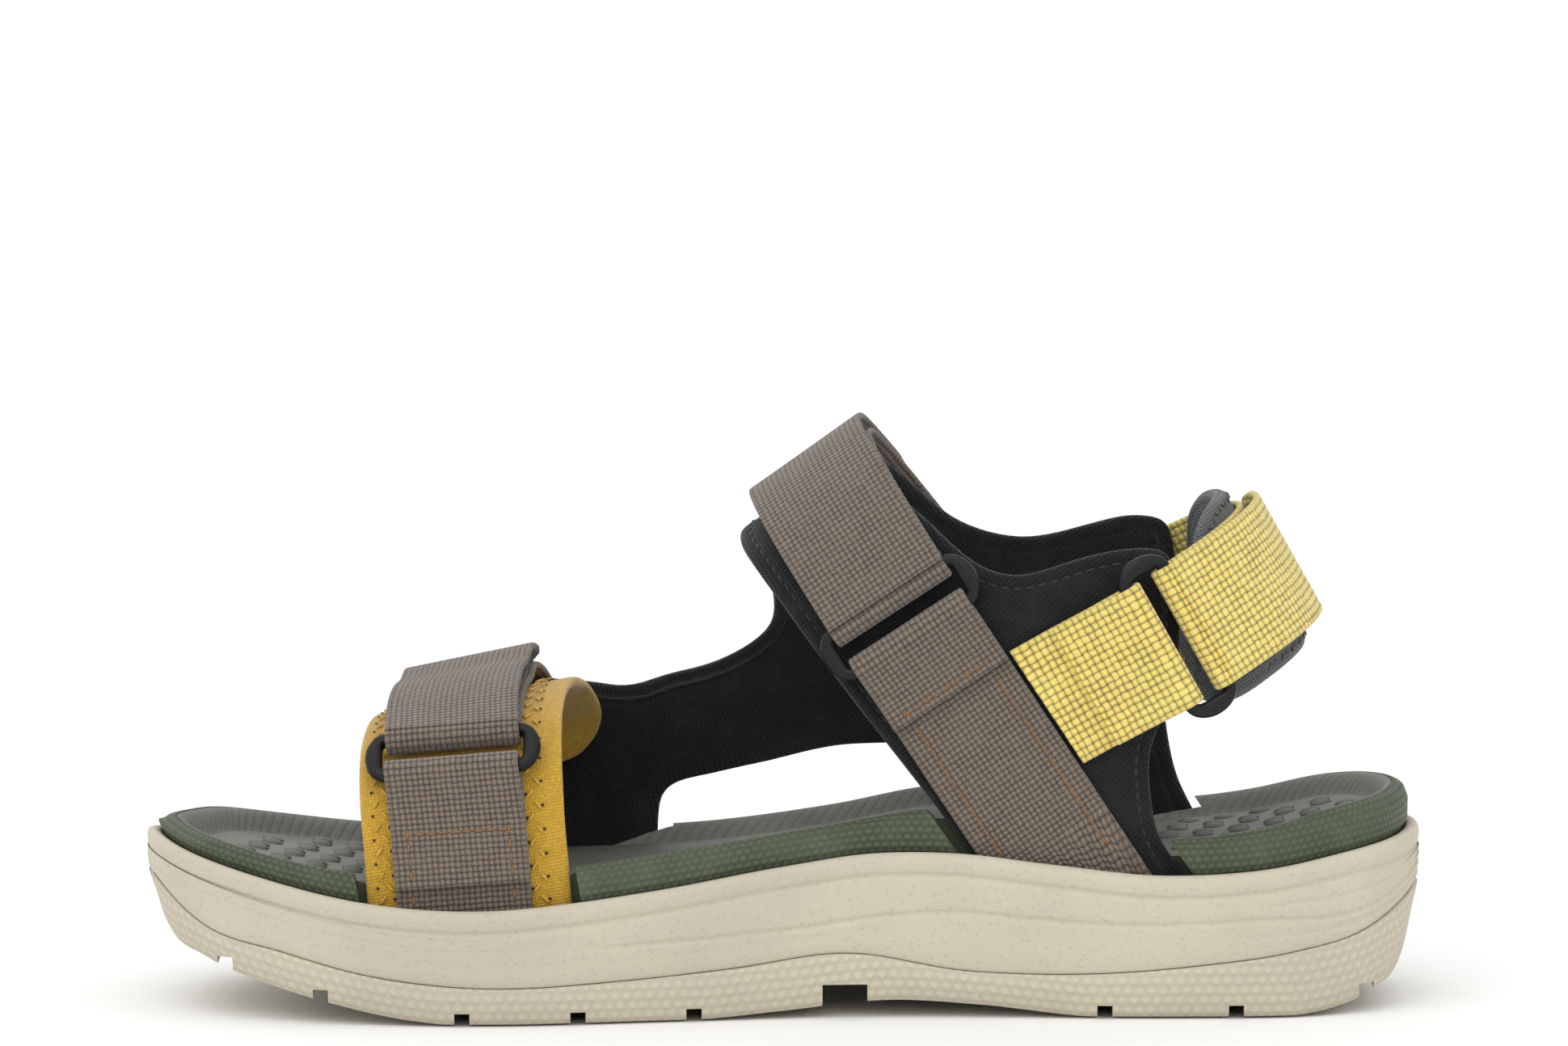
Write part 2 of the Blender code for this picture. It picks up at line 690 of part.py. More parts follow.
def dense(points, size):
    """Points along straight lines between the given ones, closed, no further apart than size."""
    loop = []
    for a, b in zip(points, list(points[1:]) + [points[0]]):
        a, b = np.array(a), np.array(b)
        count = max(1, int(math.ceil(np.linalg.norm(b - a) / size)))
        loop.extend(a + (b - a) * k / count for k in range(count))
    return loop


def inside(point, loop):
    x, y = point
    found = False
    for (x0, y0), (x1, y1) in zip(loop, loop[1:] + loop[:1]):
        if (y0 > y) != (y1 > y) and x < (x1 - x0) * (y - y0) / (y1 - y0) + x0:
            found = not found
    return found


def panel(name, form, pattern, low, high, finish, size=7.0, along_scale=1.0):
    """A padded panel cut to a flat pattern of (along, girth) and laid on a form."""
    loop = [(float(a), float(b)) for a, b in dense([(a * along_scale, g) for a, g in pattern], size)]
    flat = [Vector(p) for p in loop]
    lows, highs = np.min(loop, axis=0), np.max(loop, axis=0)
    row = 0
    y = lows[1] + size / 2
    while y < highs[1]:
        x = lows[0] + size / 2 + (size / 2 if row % 2 else 0)
        while x < highs[0]:
            near = min(math.hypot(x - p[0], y - p[1]) for p in loop)
            if near > size * 0.6 and inside((x, y), loop):
                flat.append(Vector((x, y)))
            x += size
        y += size * 0.87
        row += 1
    count = len(loop)
    ring = [(i, (i + 1) % count) for i in range(count)]
    places, _, triangles, *_ = delaunay_2d_cdt(flat, ring, [], 1, 1e-5)
    places = [(p[0] / along_scale, p[1]) for p in places]
    inner = [off(form, a, g, low) for a, g in places]
    outer = [off(form, a, g, high) for a, g in places]
    total = len(places)
    faces = [tuple(t) for t in triangles] + [tuple(total + i for i in reversed(t)) for t in triangles]
    edges = {}
    for t in triangles:
        for a, b in zip(t, list(t[1:]) + [t[0]]):
            edges[(a, b)] = True
    for a, b in edges:
        if (b, a) not in edges:
            faces.append((b, a, total + a, total + b))
    return piece(name, inner + outer, faces, finish)


def curve(points, count):
    """Evenly spaced points on a smooth line through the given ones."""
    return [tuple(p) for p in resample(smooth_line(points), count)]


def slot_cutter(name, form, low, high, side, inner):
    """What the footbed loses so that tails can pass outside it, between two places along a form."""
    top = foot_girth(form, (low + high) / 2, side, inner) - side * (CAVITY_DEPTH + 45)
    bottom = foot_girth(form, (low + high) / 2, side, inner) + side * 16
    ends = [(low - 0.6), (high + 0.6)]
    points = []
    for girth in steps(bottom, top, 4.0):
        for along in ends:
            points.append(off(form, along, girth, inner - GAP))
        for along in ends:
            points.append(off(form, along, girth, inner + 14.0))
    count = len(points) // 4
    faces = [(0, 1, 3, 2), (4 * count - 4, 4 * count - 2, 4 * count - 1, 4 * count - 3)]
    ring = (0, 1, 3, 2)
    for i in range(count - 1):
        for k in range(4):
            a, b = ring[k], ring[(k + 1) % 4]
            faces.append((4 * i + a, 4 * i + b, 4 * i + 4 + b, 4 * i + 4 + a))
    return piece(name, points, faces, None)


# ---------------------------------------------------------------- the upper's pieces

CORNER = 10.0
STRAP = ("webbing_brown", BROWN, 0.85)
HEEL_WEBBING = ("webbing_yellow", YELLOW, 0.8)
LOOPS = ("loop_tape", GREY, 0.95)
HOOKS = ("hook_tape", BLACK, 0.6)
KNIT = ("knit_black", BLACK, 0.8)


def keeper(name, path, start, base, double_end, finish):
    """Webbing that comes up from start, turns round the ring's lower bar and is stitched back onto itself."""
    below = path.ring_girth - BAR_SPREAD
    first = start[1]
    stations = [start[0]] if start[0] else []
    stations += [path.edges(g, base(g), WEBBING_WIDTH) for g in steps(first, below - 3.0)]
    stations += path.arc(path.low_bar, np.linspace(-90, 120, 10), TURN)
    outer = WEBBING + GAP
    stations += [path.edges(g, base(g) + outer, WEBBING_WIDTH) for g in steps(below - 9.0, double_end)]
    ribbon(name, stations, WEBBING, finish)


def base_strap(name, path, tail, first, height, finish):
    """Webbing from the lateral side over the crest, to just short of the ring's upper bar."""
    above = path.ring_girth + BAR_SPREAD
    stations = [tail] if tail else []
    stations += [path.edges(g, height(g), WEBBING_WIDTH) for g in steps(first, above + 4.0, 4.0)]
    stations.append(path.near(path.high_bar + path.d * (GAP + 0.2) - path.n * TURN))
    ribbon(name, stations, WEBBING, finish)


def strap_turn(name, path, finish):
    ribbon(name, path.arc(path.high_bar, np.linspace(-90, -270, 9), TURN), WEBBING, finish)


def tab(name, path, end, height, finish):
    """The strap's free end, folded back over itself."""
    above = path.ring_girth + BAR_SPREAD
    stations = [path.near(path.high_bar + path.d * GAP + path.n * TURN)]
    marks = [(g, height(g)) for g in steps(above + 6.0, end, 4.0)]
    stations += rounded(path, marks, WEBBING_WIDTH, CORNER)
    ribbon(name, stations, WEBBING, finish)


def patch(name, path, start, end, height, thickness, finish):
    marks = [(g, height(g)) for g in steps(start, end, 4.0)]
    ribbon(name, rounded(path, marks, PATCH_WIDTH, 4.0, at_start=True), thickness, finish)


def build_forefoot():
    path = FORE_PATH
    half = FOREFOOT_PAD_WIDTH / 2 / math.cos(path.turn)

    def edge(girth, side):
        return path.start + FOREFOOT_PAD_BACK + path.slope * girth + side * half

    foot = {}
    for side in (-1, 1):
        girth = -75.0
        for _ in range(6):
            girth = foot_girth(FORE, edge(girth, side), -1, PANEL / 2)
        foot[side] = (edge(girth, side), girth)
    soles = [
        (a, foot_girth(FORE, a, -1, PANEL / 2)) for a in np.linspace(foot[1][0], foot[-1][0], 6)
    ]
    tip, round_off = 54.0, 14.0
    corners = []
    for side, angles in ((-1, np.linspace(180, 90, 6)), (1, np.linspace(90, 0, 6))):
        for a in np.radians(angles):
            girth = tip - round_off + round_off * math.sin(a)
            corners.append((edge(girth, side) - side * round_off + round_off * math.cos(a), girth))
    panel("forefoot_pad", FORE, soles + corners, 0.0, PANEL, ("padding_mustard", MUSTARD, 0.7))
    cut_slot("forefoot_medial", FORE, foot[-1][0], edge(foot[1][1] + 20, 1), -1, 0.0)

    def over(girth):
        return LIFT * eased(girth, 4.0, 19.0)

    end, first = path.tail(-1, BASE)
    keeper("forefoot_keeper", path, (end, first), lambda g: BASE, path.ring_girth - 26.0, STRAP)
    end, first = path.tail(1, BASE + LIFT)
    base_strap("forefoot_strap", path, end, first, lambda g: BASE + over(g), STRAP)
    oval_ring("forefoot_ring", path)
    strap_turn("forefoot_strap_turn", path, STRAP)
    tab("forefoot_strap_tab", path, 34.0, lambda g: TAB + over(g), STRAP)
    reach = path.ring_girth + BAR_SPREAD
    patch("forefoot_loop_patch", path, reach + 5.0, 29.0, lambda g: LOOP + over(g), LOOP_PATCH, LOOPS)
    patch("forefoot_hook_patch", path, reach + 8.0, 27.0, lambda g: HOOK + over(g), HOOK_PATCH, HOOKS)


def build_instep():
    path = INSTEP_PATH

    def over(girth):
        return LIFT * eased(girth, 2.0, 15.0)

    end, first = path.tail(-1, BASE)
    keeper("instep_keeper", path, (end, first), lambda g: BASE, path.ring_girth - 19.5, STRAP)
    end, first = path.tail(1, BASE + LIFT)
    base_strap("instep_strap", path, end, first, lambda g: BASE + over(g), STRAP)
    oval_ring("instep_ring", path)
    strap_turn("instep_strap_turn", path, STRAP)
    tab("instep_strap_tab", path, 36.0, lambda g: TAB + over(g), STRAP)
    reach = path.ring_girth + BAR_SPREAD
    patch("instep_loop_patch", path, reach + 5.0, 31.0, lambda g: LOOP + over(g), LOOP_PATCH, LOOPS)
    patch("instep_hook_patch", path, reach + 8.0, 29.0, lambda g: HOOK + over(g), HOOK_PATCH, HOOKS)


def build_heel():
    path = HEEL_PATH
    rise = HEEL_REACH

    def keeper_height(girth):
        return BASE + HEEL_RISE * eased(girth, HEELS.girth_of(rise - 46, -1), HEELS.girth_of(rise - 34, -1))

    def butted(side, height):
        """An end that butts against the rear edge of the instep webbing, and the girth of the next square station."""
        ends, girths = [], []
        for t in (-WEBBING_WIDTH / 2, WEBBING_WIDTH / 2):
            across = HEELS.across * (path.start + t)
            girth = -85.0
            for _ in range(6):
                reach = INSTEP_PATH.start + INSTEP_PATH.slope * abs(girth) * side + WEBBING_WIDTH / 2 + 1.0
                back = (reach - ANKLE.across @ across) / (ANKLE.across @ HEELS.rise)
                girth = ANKLE.girth_of(float(ANKLE.rise @ (across + HEELS.rise * back)), side)
            girths.append(HEELS.girth_of(back, side))
            ends.append(off(HEELS, path.start + t, girths[-1], height))
        return tuple(ends), (max if side < 0 else min)(girths) - side * 2.5

    keeper("heel_keeper", path, butted(-1, BASE), keeper_height, path.ring_girth - 21.0, HEEL_WEBBING)

    side_height = BASE + LIFT

    def strap_height(girth):
        return HEEL_BASE + (side_height - HEEL_BASE) * eased(girth, 20.0, 29.0)

    end, first = butted(1, side_height)
    base_strap("heel_strap", path, end, first, strap_height, HEEL_WEBBING)
    oval_ring("heel_ring", path)
    strap_turn("heel_strap_turn", path, HEEL_WEBBING)
    tab("heel_strap_tab", path, 18.0, lambda g: TAB + HEEL_RISE, HEEL_WEBBING)
    reach = path.ring_girth + BAR_SPREAD
    patch("heel_loop_patch", path, reach + 5.0, 14.0, lambda g: LOOP + HEEL_RISE, LOOP_PATCH, LOOPS)
    patch("heel_hook_patch", path, reach + 8.0, 12.0, lambda g: HOOK + HEEL_RISE, HOOK_PATCH, HOOKS)

    half = HEEL_PAD_WIDTH / 2
    low, high = path.start - half, path.start + half
    pattern = []
    for side in (-1, 1):
        deep, shallow = HEELS.girth_of(rise - PAD_END[0], side), HEELS.girth_of(rise - PAD_END[1], side)
        end = curve([
            (low + 12, deep + side * -9), (low, deep + side * -9), (low + 2.5, deep + side * -2), (low + 9, deep),
            (high - 11, shallow + side * 2), (high - 3, shallow - side * 4), (high, shallow - side * 13),
        ][1:], 12)
        pattern += end if side < 0 else end[::-1]
    panel("heel_pad", HEELS, pattern, 0.0, HEEL_PAD, ("padding_grey", GREY, 0.9))


PAD_END = (25.0, 10.5)  # how far the heel pad's lower and upper corners stop short of its back


def build_quarters():
    # The medial quarter, whose top runs over the crest and under the lateral upper.
    front, rear = 54.8, 89.5

    def side(x, z):
        return ANKLE.locate(x, z, -1)

    foot = [(a, foot_girth(ANKLE, a, -1, PANEL / 2)) for a in np.linspace(rear, front, 7)]
    forward = [(51.4, -16.0), (50.9, -8.0), (52.0, 0.0), (55.0, 10.0), (59.0, 22.0)]
    back = [(86.0, 22.0), (88.0, 8.0), (88.4, 0.0), (87.4, -12.0)]
    top = [side(*p) for p in (
        (25.9, 113.8), (32.2, 109.4), (37.1, 104.8), (44.3, 99.7), (51.0, 97.9), (59.7, 100.1),
        (67.5, 102.8), (77.1, 104.3),
    )]
    arm = [side(*p) for p in ((84.6, 103.6), (86.8, 96.0), (87.6, 82.0), (86.6, 71.0), (85.0, 66.8))]
    behind = [side(*p) for p in ((82.6, 62.8), (81.2, 56.4), (82.0, 47.5), (83.0, 41.0))]
    pattern = foot + forward + back + curve(top, 14) + curve(arm, 8) + behind
    panel("medial_quarter", ANKLE, pattern, 0.0, PANEL, KNIT)
    passing = INSTEP_PATH.start - 95.0 * INSTEP_PATH.slope
    low_end = min(front - 1.5, passing - WEBBING_WIDTH / 2 - 2.0)
    cut_slot("medial_quarter", ANKLE, low_end, max(rear + 2.5, passing + WEBBING_WIDTH / 2 + 2.0), -1, 0.0)

    # The lateral upper: vamp, band and quarter in one panel.
    vamp_front, vamp_rear, quarter_front, quarter_rear = -83.5, -25.5, 55.5, 95.5
    low, high = OVERLAY, OVERLAY + PANEL
    middle = (low + high) / 2

    def fore(along, girth):
        return ((along - LATERAL.fore_end) / LATERAL.stride, girth)

    def ankle(along, girth):
        return (1 + (along - LATERAL.rear_start) / LATERAL.stride, girth)

    def far(x, z):
        return LATERAL.locate(x, z, 1)

    vamp_foot = [
        fore(a, foot_girth(FORE, a, 1, middle)) for a in np.linspace(vamp_rear, vamp_front, 9)
    ]
    vamp_top = [fore(-80.0, 44.0), fore(-76.0, 29.0), fore(-71.0, 23.0), fore(-58.0, 22.0), fore(-46.0, 23.5)]
    band_top = [far(*p) for p in ((-35.0, 61.2), (-21.7, 66.2), (-9.0, 71.8), (-1.5, 79.5))]
    crest = [ankle(50.5, 27.0), ankle(54.0, 18.5), ankle(70.0, 17.5), ankle(87.0, 18.5)]
    collar = [far(*p) for p in (
        (32.2, 109.4), (39.0, 103.5), (48.9, 99.8), (57.9, 99.4), (67.5, 102.0), (77.1, 104.3),
    )]
    arm = [far(*p) for p in ((84.6, 103.6), (86.8, 96.0), (87.6, 82.0), (87.2, 70.0))]
    behind = [far(*p) for p in ((86.6, 60.0), (88.0, 51.0), (89.5, 44.5))]
    quarter_foot = [
        ankle(a, foot_girth(ANKLE, a, 1, middle)) for a in np.linspace(quarter_rear, quarter_front, 7)
    ]
    band_low = [far(*p) for p in ((40.0, 46.0), (36.0, 51.0), (23.5, 51.6), (-1.8, 47.6), (-22.0, 43.6), (-28.5, 39.5))]
    pattern = (
        vamp_foot + curve(vamp_top, 12) + curve(band_top, 8) + crest + curve(collar, 12) + curve(arm, 7)
        + behind + quarter_foot + curve(band_low, 16)
    )
    panel("lateral_upper", LATERAL, pattern, low, high, KNIT, along_scale=LATERAL.stride)
    cut_slot("vamp", FORE, vamp_front, vamp_rear + 6.5, 1, low)
    cut_slot("lateral_quarter", ANKLE, quarter_front, quarter_rear + 3.0, 1, low)


def cut_slot(name, form, low, high, side, inner):
    cut(bpy.data.objects["footbed"], slot_cutter(f"{name}_slot_cutter", form, low, high, side, inner))


def main():
    for old in list(bpy.data.objects):
        bpy.data.objects.remove(old)
    build_outsole()
    build_midsole()
    build_footbed()
    build_forefoot()
    build_instep()
    build_heel()
    build_quarters()


main()
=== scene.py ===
"""Looks of the strappy sport sandal, laid out as a Blender add-on and run as a script.

Lengths inside the shape functions are in millimetres, in the frame's own axes:
+X toe to heel, -Y medial, +Z up.
"""

import math

import bmesh
import bpy
import numpy as np
from bpy.props import FloatProperty, FloatVectorProperty, PointerProperty
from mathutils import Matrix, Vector
from mathutils.geometry import delaunay_2d_cdt


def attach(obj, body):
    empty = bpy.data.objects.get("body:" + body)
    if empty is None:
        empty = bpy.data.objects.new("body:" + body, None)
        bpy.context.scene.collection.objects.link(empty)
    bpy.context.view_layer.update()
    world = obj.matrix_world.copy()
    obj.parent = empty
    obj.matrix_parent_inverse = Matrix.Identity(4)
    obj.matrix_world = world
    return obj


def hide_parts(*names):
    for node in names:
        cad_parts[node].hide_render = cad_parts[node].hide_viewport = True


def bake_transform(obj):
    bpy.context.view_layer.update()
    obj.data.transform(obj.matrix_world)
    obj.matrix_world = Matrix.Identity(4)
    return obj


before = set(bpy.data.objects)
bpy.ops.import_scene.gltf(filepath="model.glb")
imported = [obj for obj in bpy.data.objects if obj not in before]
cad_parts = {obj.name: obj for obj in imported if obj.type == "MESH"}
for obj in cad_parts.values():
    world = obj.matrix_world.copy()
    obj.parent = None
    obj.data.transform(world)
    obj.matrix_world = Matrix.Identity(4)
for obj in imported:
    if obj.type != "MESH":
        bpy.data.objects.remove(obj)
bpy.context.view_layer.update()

bl_info = {
    "name": "Strappy sport sandal",
    "version": (1, 0, 0),
    "blender": (4, 5, 0),
    "location": "3D View > Sidebar > Sandal",
    "description": "Builds the sole, padding, webbing, rings and stitching of a sport sandal",
    "category": "Add Mesh",
}

MM = 0.001
GAP = 0.35

# ---------------------------------------------------------------- sizes shared with the solid model, in mm

HALF = 142.5
FOREFOOT_WIDTH = 104.6
BALL = FOREFOOT_WIDTH / 2
HEEL = 40.5
LOOP_POINTS = 72
RIM_WALL = 3.2
CAVITY_DEPTH = 7.5
FOOTBED_RIM = 5.2
FOOTBED_DISH = 4.0
TREAD_DEPTH, TREAD_GROOVE = 2.8, 3.4
ARCH_NOTCH_DEPTH, ARCH_NOTCH = 4.6, 10.0
PANEL = 2.5
WEBBING = 1.5
WEBBING_WIDTH = 30.0
LOOP_PATCH, HOOK_PATCH, PATCH_WIDTH = 1.0, 0.8, 26.0
FOREFOOT_PAD_WIDTH, FOREFOOT_PAD_BACK = 45.5, 1.0
HEEL_PAD, HEEL_PAD_WIDTH = 4.0, 40.0
FOREFOOT_TILT, INSTEP_TILT, HEEL_TILT = 10.8, 35.4, 29.4
FOREFOOT_HEIGHT, INSTEP_HEIGHT, HEEL_REACH = 76.9, 88.5, 137.8
FOREFOOT_STRAP_AT, INSTEP_STRAP_AT, HEEL_STRAP_AT = -57.5, 74.2, 31.5
FOREFOOT_RING_DROP, INSTEP_RING_DROP, HEEL_RING_DROP = 9.4, 32.3, 22.3
BAR_RADIUS, BAR_SPREAD, RING_END, SLOT_CLEARANCE = 1.5, 5.0, 3.9, 0.8
CORNER = 10.0
TURN = BAR_RADIUS + GAP + WEBBING / 2
STACK = PANEL + WEBBING + 2 * GAP
OVERLAY = PANEL + 1.4 * GAP
LIFT = PANEL + 2 * GAP
SEAT = RIM_WALL + GAP + 0.3


# ---------------------------------------------------------------- curves

def slopes(x, y):
    """Catmull-Rom slopes of y over x, one sided at the ends."""
    return np.gradient(y, x, axis=0)


def smooth(points):
    """A smooth function through (x, value) pairs, level past its ends."""
    x, y = np.array(points, float).T
    m = slopes(x, y)

    def value(at):
        at = np.clip(np.asarray(at, float), x[0], x[-1])
        i = np.clip(np.searchsorted(x, at) - 1, 0, len(x) - 2)
        h = x[i + 1] - x[i]
        t = (at - x[i]) / h
        return (
            (2 * t**3 - 3 * t**2 + 1) * y[i]
            + (t**3 - 2 * t**2 + t) * h * m[i]
            + (3 * t**2 - 2 * t**3) * y[i + 1]
            + (t**3 - t**2) * h * m[i + 1]
        )

    return value


def smooth_line(points, closed=False, steps=16, level=False):
    """A dense smooth polyline through points. level keeps it from passing the points' own extremes."""
    p = np.array(points, float)
    if closed:
        p = np.vstack([p[-2:], p, p[:3]])
    knots = np.concatenate([[0], np.cumsum(np.sqrt(np.linalg.norm(np.diff(p, axis=0), axis=1)))])
    m = slopes(knots, p)
    if level:
        secant = np.diff(p, axis=0) / np.diff(knots)[:, None]
        before, after = np.vstack([secant[:1], secant]), np.vstack([secant, secant[-1:]])
        limit = 3 * np.minimum(np.abs(before), np.abs(after))
        m = np.where(before * after <= 0, 0.0, np.clip(m, -limit, limit))
    line = []
    for i in range(len(p) - 1):
        h = knots[i + 1] - knots[i]
        for t in np.arange(steps) / steps:
            line.append(
                (2 * t**3 - 3 * t**2 + 1) * p[i]
                + (t**3 - 2 * t**2 + t) * h * m[i]
                + (3 * t**2 - 2 * t**3) * p[i + 1]
                + (t**3 - t**2) * h * m[i + 1]
            )
    line = np.array(line + [p[-1]])
    return line[2 * steps : -3 * steps] if closed else line


def lengths(line):
    return np.concatenate([[0], np.cumsum(np.linalg.norm(np.diff(line, axis=0), axis=1))])


def resample(line, count, closed=False):
    line = np.vstack([line, line[:1]]) if closed else line
    s = lengths(line)
    at = np.linspace(0, s[-1], count + 1)[:-1] if closed else np.linspace(0, s[-1], count)
    return np.array([np.interp(at, s, line[:, k]) for k in range(line.shape[1])]).T


# ---------------------------------------------------------------- the sole's lines

# Plan of the sole: shares of the half length, and of the half width at the ball or the heel.
PLAN = [
    (-1.0 * HALF, -0.17 * BALL), (-0.94 * HALF, -0.62 * BALL), (-0.8 * HALF, -0.87 * BALL),
    (-0.62 * HALF, -0.98 * BALL), (-0.42 * HALF, -1.0 * BALL), (-0.2 * HALF, -0.89 * BALL),
    (0.06 * HALF, -0.985 * HEEL), (0.32 * HALF, -0.97 * HEEL), (0.6 * HALF, -1.0 * HEEL),
    (0.82 * HALF, -0.93 * HEEL), (0.95 * HALF, -0.63 * HEEL), (1.0 * HALF, -0.02 * HEEL),
    (0.955 * HALF, 0.6 * HEEL), (0.82 * HALF, 0.93 * HEEL), (0.6 * HALF, 1.01 * HEEL),
    (0.32 * HALF, 1.06 * HEEL), (0.06 * HALF, 0.9 * BALL), (-0.2 * HALF, 0.985 * BALL),
    (-0.42 * HALF, 1.0 * BALL), (-0.62 * HALF, 0.93 * BALL), (-0.8 * HALF, 0.75 * BALL),
    (-0.94 * HALF, 0.4 * BALL),
]

ground_line = smooth([
    (-HALF, 29), (-0.97 * HALF, 19.5), (-0.9 * HALF, 13), (-0.8 * HALF, 8), (-0.7 * HALF, 4.2),
    (-0.6 * HALF, 1.2), (-0.53 * HALF, 0), (-0.12 * HALF, 0), (0.0, 1.4), (0.17 * HALF, 3.6),
    (0.3 * HALF, 2.6), (0.47 * HALF, 0), (0.8 * HALF, 0), (0.86 * HALF, 1.4), (0.92 * HALF, 4.6),
    (0.97 * HALF, 11), (HALF, 25),
])
parting_line = smooth([
    (-HALF, 31), (-0.9 * HALF, 20.5), (-0.78 * HALF, 16), (-0.66 * HALF, 11.6), (-0.5 * HALF, 8.8),
    (-0.25 * HALF, 9.8), (-0.08 * HALF, 12), (0.1 * HALF, 15), (0.28 * HALF, 11), (0.48 * HALF, 10.2),
    (0.65 * HALF, 12), (0.8 * HALF, 15), (0.9 * HALF, 18.5), (HALF, 27),
])
lip_line = smooth([
    (-HALF, 39.5), (-0.92 * HALF, 36), (-0.8 * HALF, 31.5), (-0.65 * HALF, 27.1), (-0.47 * HALF, 25.6),
    (-0.33 * HALF, 27.2), (-0.2 * HALF, 29.8), (0.0, 35), (0.14 * HALF, 37.8), (0.26 * HALF, 37.6),
    (0.42 * HALF, 34.6), (0.6 * HALF, 31.9), (0.74 * HALF, 32.9), (0.88 * HALF, 36.4), (HALF, 39.4),
])
bed_line = smooth([
    (-HALF, 43.6), (-0.92 * HALF, 40.5), (-0.8 * HALF, 36.4), (-0.65 * HALF, 33), (-0.48 * HALF, 32.6),
    (-0.33 * HALF, 34.9), (-0.13 * HALF, 39.2), (0.08 * HALF, 44.2), (0.22 * HALF, 47.2),
    (0.4 * HALF, 44.6), (0.6 * HALF, 39.6), (0.74 * HALF, 41.6), (0.86 * HALF, 45.9), (HALF, 49),
])
# The lateral side has less arch than the medial side.
arch_drop = smooth([
    (-0.55 * HALF, 0), (-0.35 * HALF, 3.5), (-0.1 * HALF, 7.2), (0.15 * HALF, 7.4),
    (0.4 * HALF, 3.2), (0.62 * HALF, 0),
])

outline = resample(smooth_line(PLAN, closed=True), LOOP_POINTS * 8, closed=True)
outline = np.roll(outline, -int(np.argmin(outline[:, 0])), axis=0)


def normals_2d(loop):
    along = np.roll(loop, -1, axis=0) - np.roll(loop, 1, axis=0)
    out = np.stack([along[:, 1], -along[:, 0]], axis=1)
    return out / np.linalg.norm(out, axis=1, keepdims=True)


def inset(distance, count=LOOP_POINTS):
    """The plan outline moved inwards, as a loop that starts at the toe and runs down the medial side."""
    moved = outline - normals_2d(outline) * distance
    return moved[:: len(outline) // count]


def side_share(y):
    """0 on the medial edge and 1 on the lateral edge."""
    return np.clip(0.5 + np.asarray(y) / FOREFOOT_WIDTH, 0, 1)


def with_drop(line, share=1.0):
    """A height over the plan, lowered on the lateral side where the arch is."""
    return lambda x, y: line(x) - share * arch_drop(x) * side_share(y)


lip = with_drop(lip_line)
bed = with_drop(bed_line)
parting = with_drop(parting_line, 0.3)


def ground(x, y):
    return np.maximum(ground_line(x), 0) + 0 * np.asarray(y)


def cavity_floor(x, y):
    return lip(x, y) - CAVITY_DEPTH


def raised(height, by):
    return lambda x, y: height(x, y) + by


# ---------------------------------------------------------------- forms that the upper lies on

def unit(v):
    return v / np.linalg.norm(v)


def edge_y(x, side):
    """The plan outline's y at x, on one side."""
    tip = int(np.argmax(outline[:, 0]))
    half = outline[: tip + 1] if side < 0 else outline[tip:][::-1]
    return float(np.interp(x, half[:, 0], half[:, 1]))


class Form:
    """A tunnel round the foot: a profile across it, carried along a straight line.

    along is measured on that line, and girth from the crest round the profile, positive to the lateral side.
    """

    def __init__(self, tilt, upside, profile, walls, nominal, narrowed_by=None):
        self.upside = upside
        self.narrowed_by = narrowed_by
        a = math.radians(tilt)
        self.across = np.array([math.cos(a), 0.0, math.sin(a)])
        self.rise = np.array([-math.sin(a), 0.0, math.cos(a)]) * upside
        self.walls = walls  # per side: (along, y) at two places
        line = smooth_line([(u * nominal, c) for u, c in profile], level=True)
        s = lengths(line)
        self.s = s - s[int(np.argmax(line[:, 1]))]
        self.u = line[:, 0] / nominal
        self.c = line[:, 1]

    def wall(self, along, side):
        (a0, y0), (a1, y1) = self.walls[side]
        return y0 + (y1 - y0) * (along - a0) / (a1 - a0)

    def at(self, along, girth):
        over = girth - min(max(girth, self.s[0]), self.s[-1])
        g = girth - over
        u = float(np.interp(g, self.s, self.u))
        c = float(np.interp(g, self.s, self.c)) - abs(over)
        y = abs(u) * self.wall(along, -1 if u < 0 else 1)
        p = self.across * along + self.rise * c
        if self.narrowed_by:
            y *= self.narrowed_by.share(float(p @ self.narrowed_by.rise))
        return p + np.array([0.0, y, 0.0])

    def share(self, c):
        """How much of the wall's y is left at height c."""
        pick = self.s >= 0
        return float(np.interp(c, self.c[pick][::-1], self.u[pick][::-1]))

    def girth_of(self, c, side):
        """The girth where one side of the profile is at height c."""
        pick = self.s <= 0 if side < 0 else self.s >= 0
        cs, ss = self.c[pick], self.s[pick]
        if side > 0:
            cs, ss = cs[::-1], ss[::-1]
        return float(np.interp(c, cs, ss))

    def locate(self, x, z, side):
        along = x * self.across[0] + z * self.across[2]
        return along, self.girth_of(x * self.rise[0] + z * self.rise[2], side)


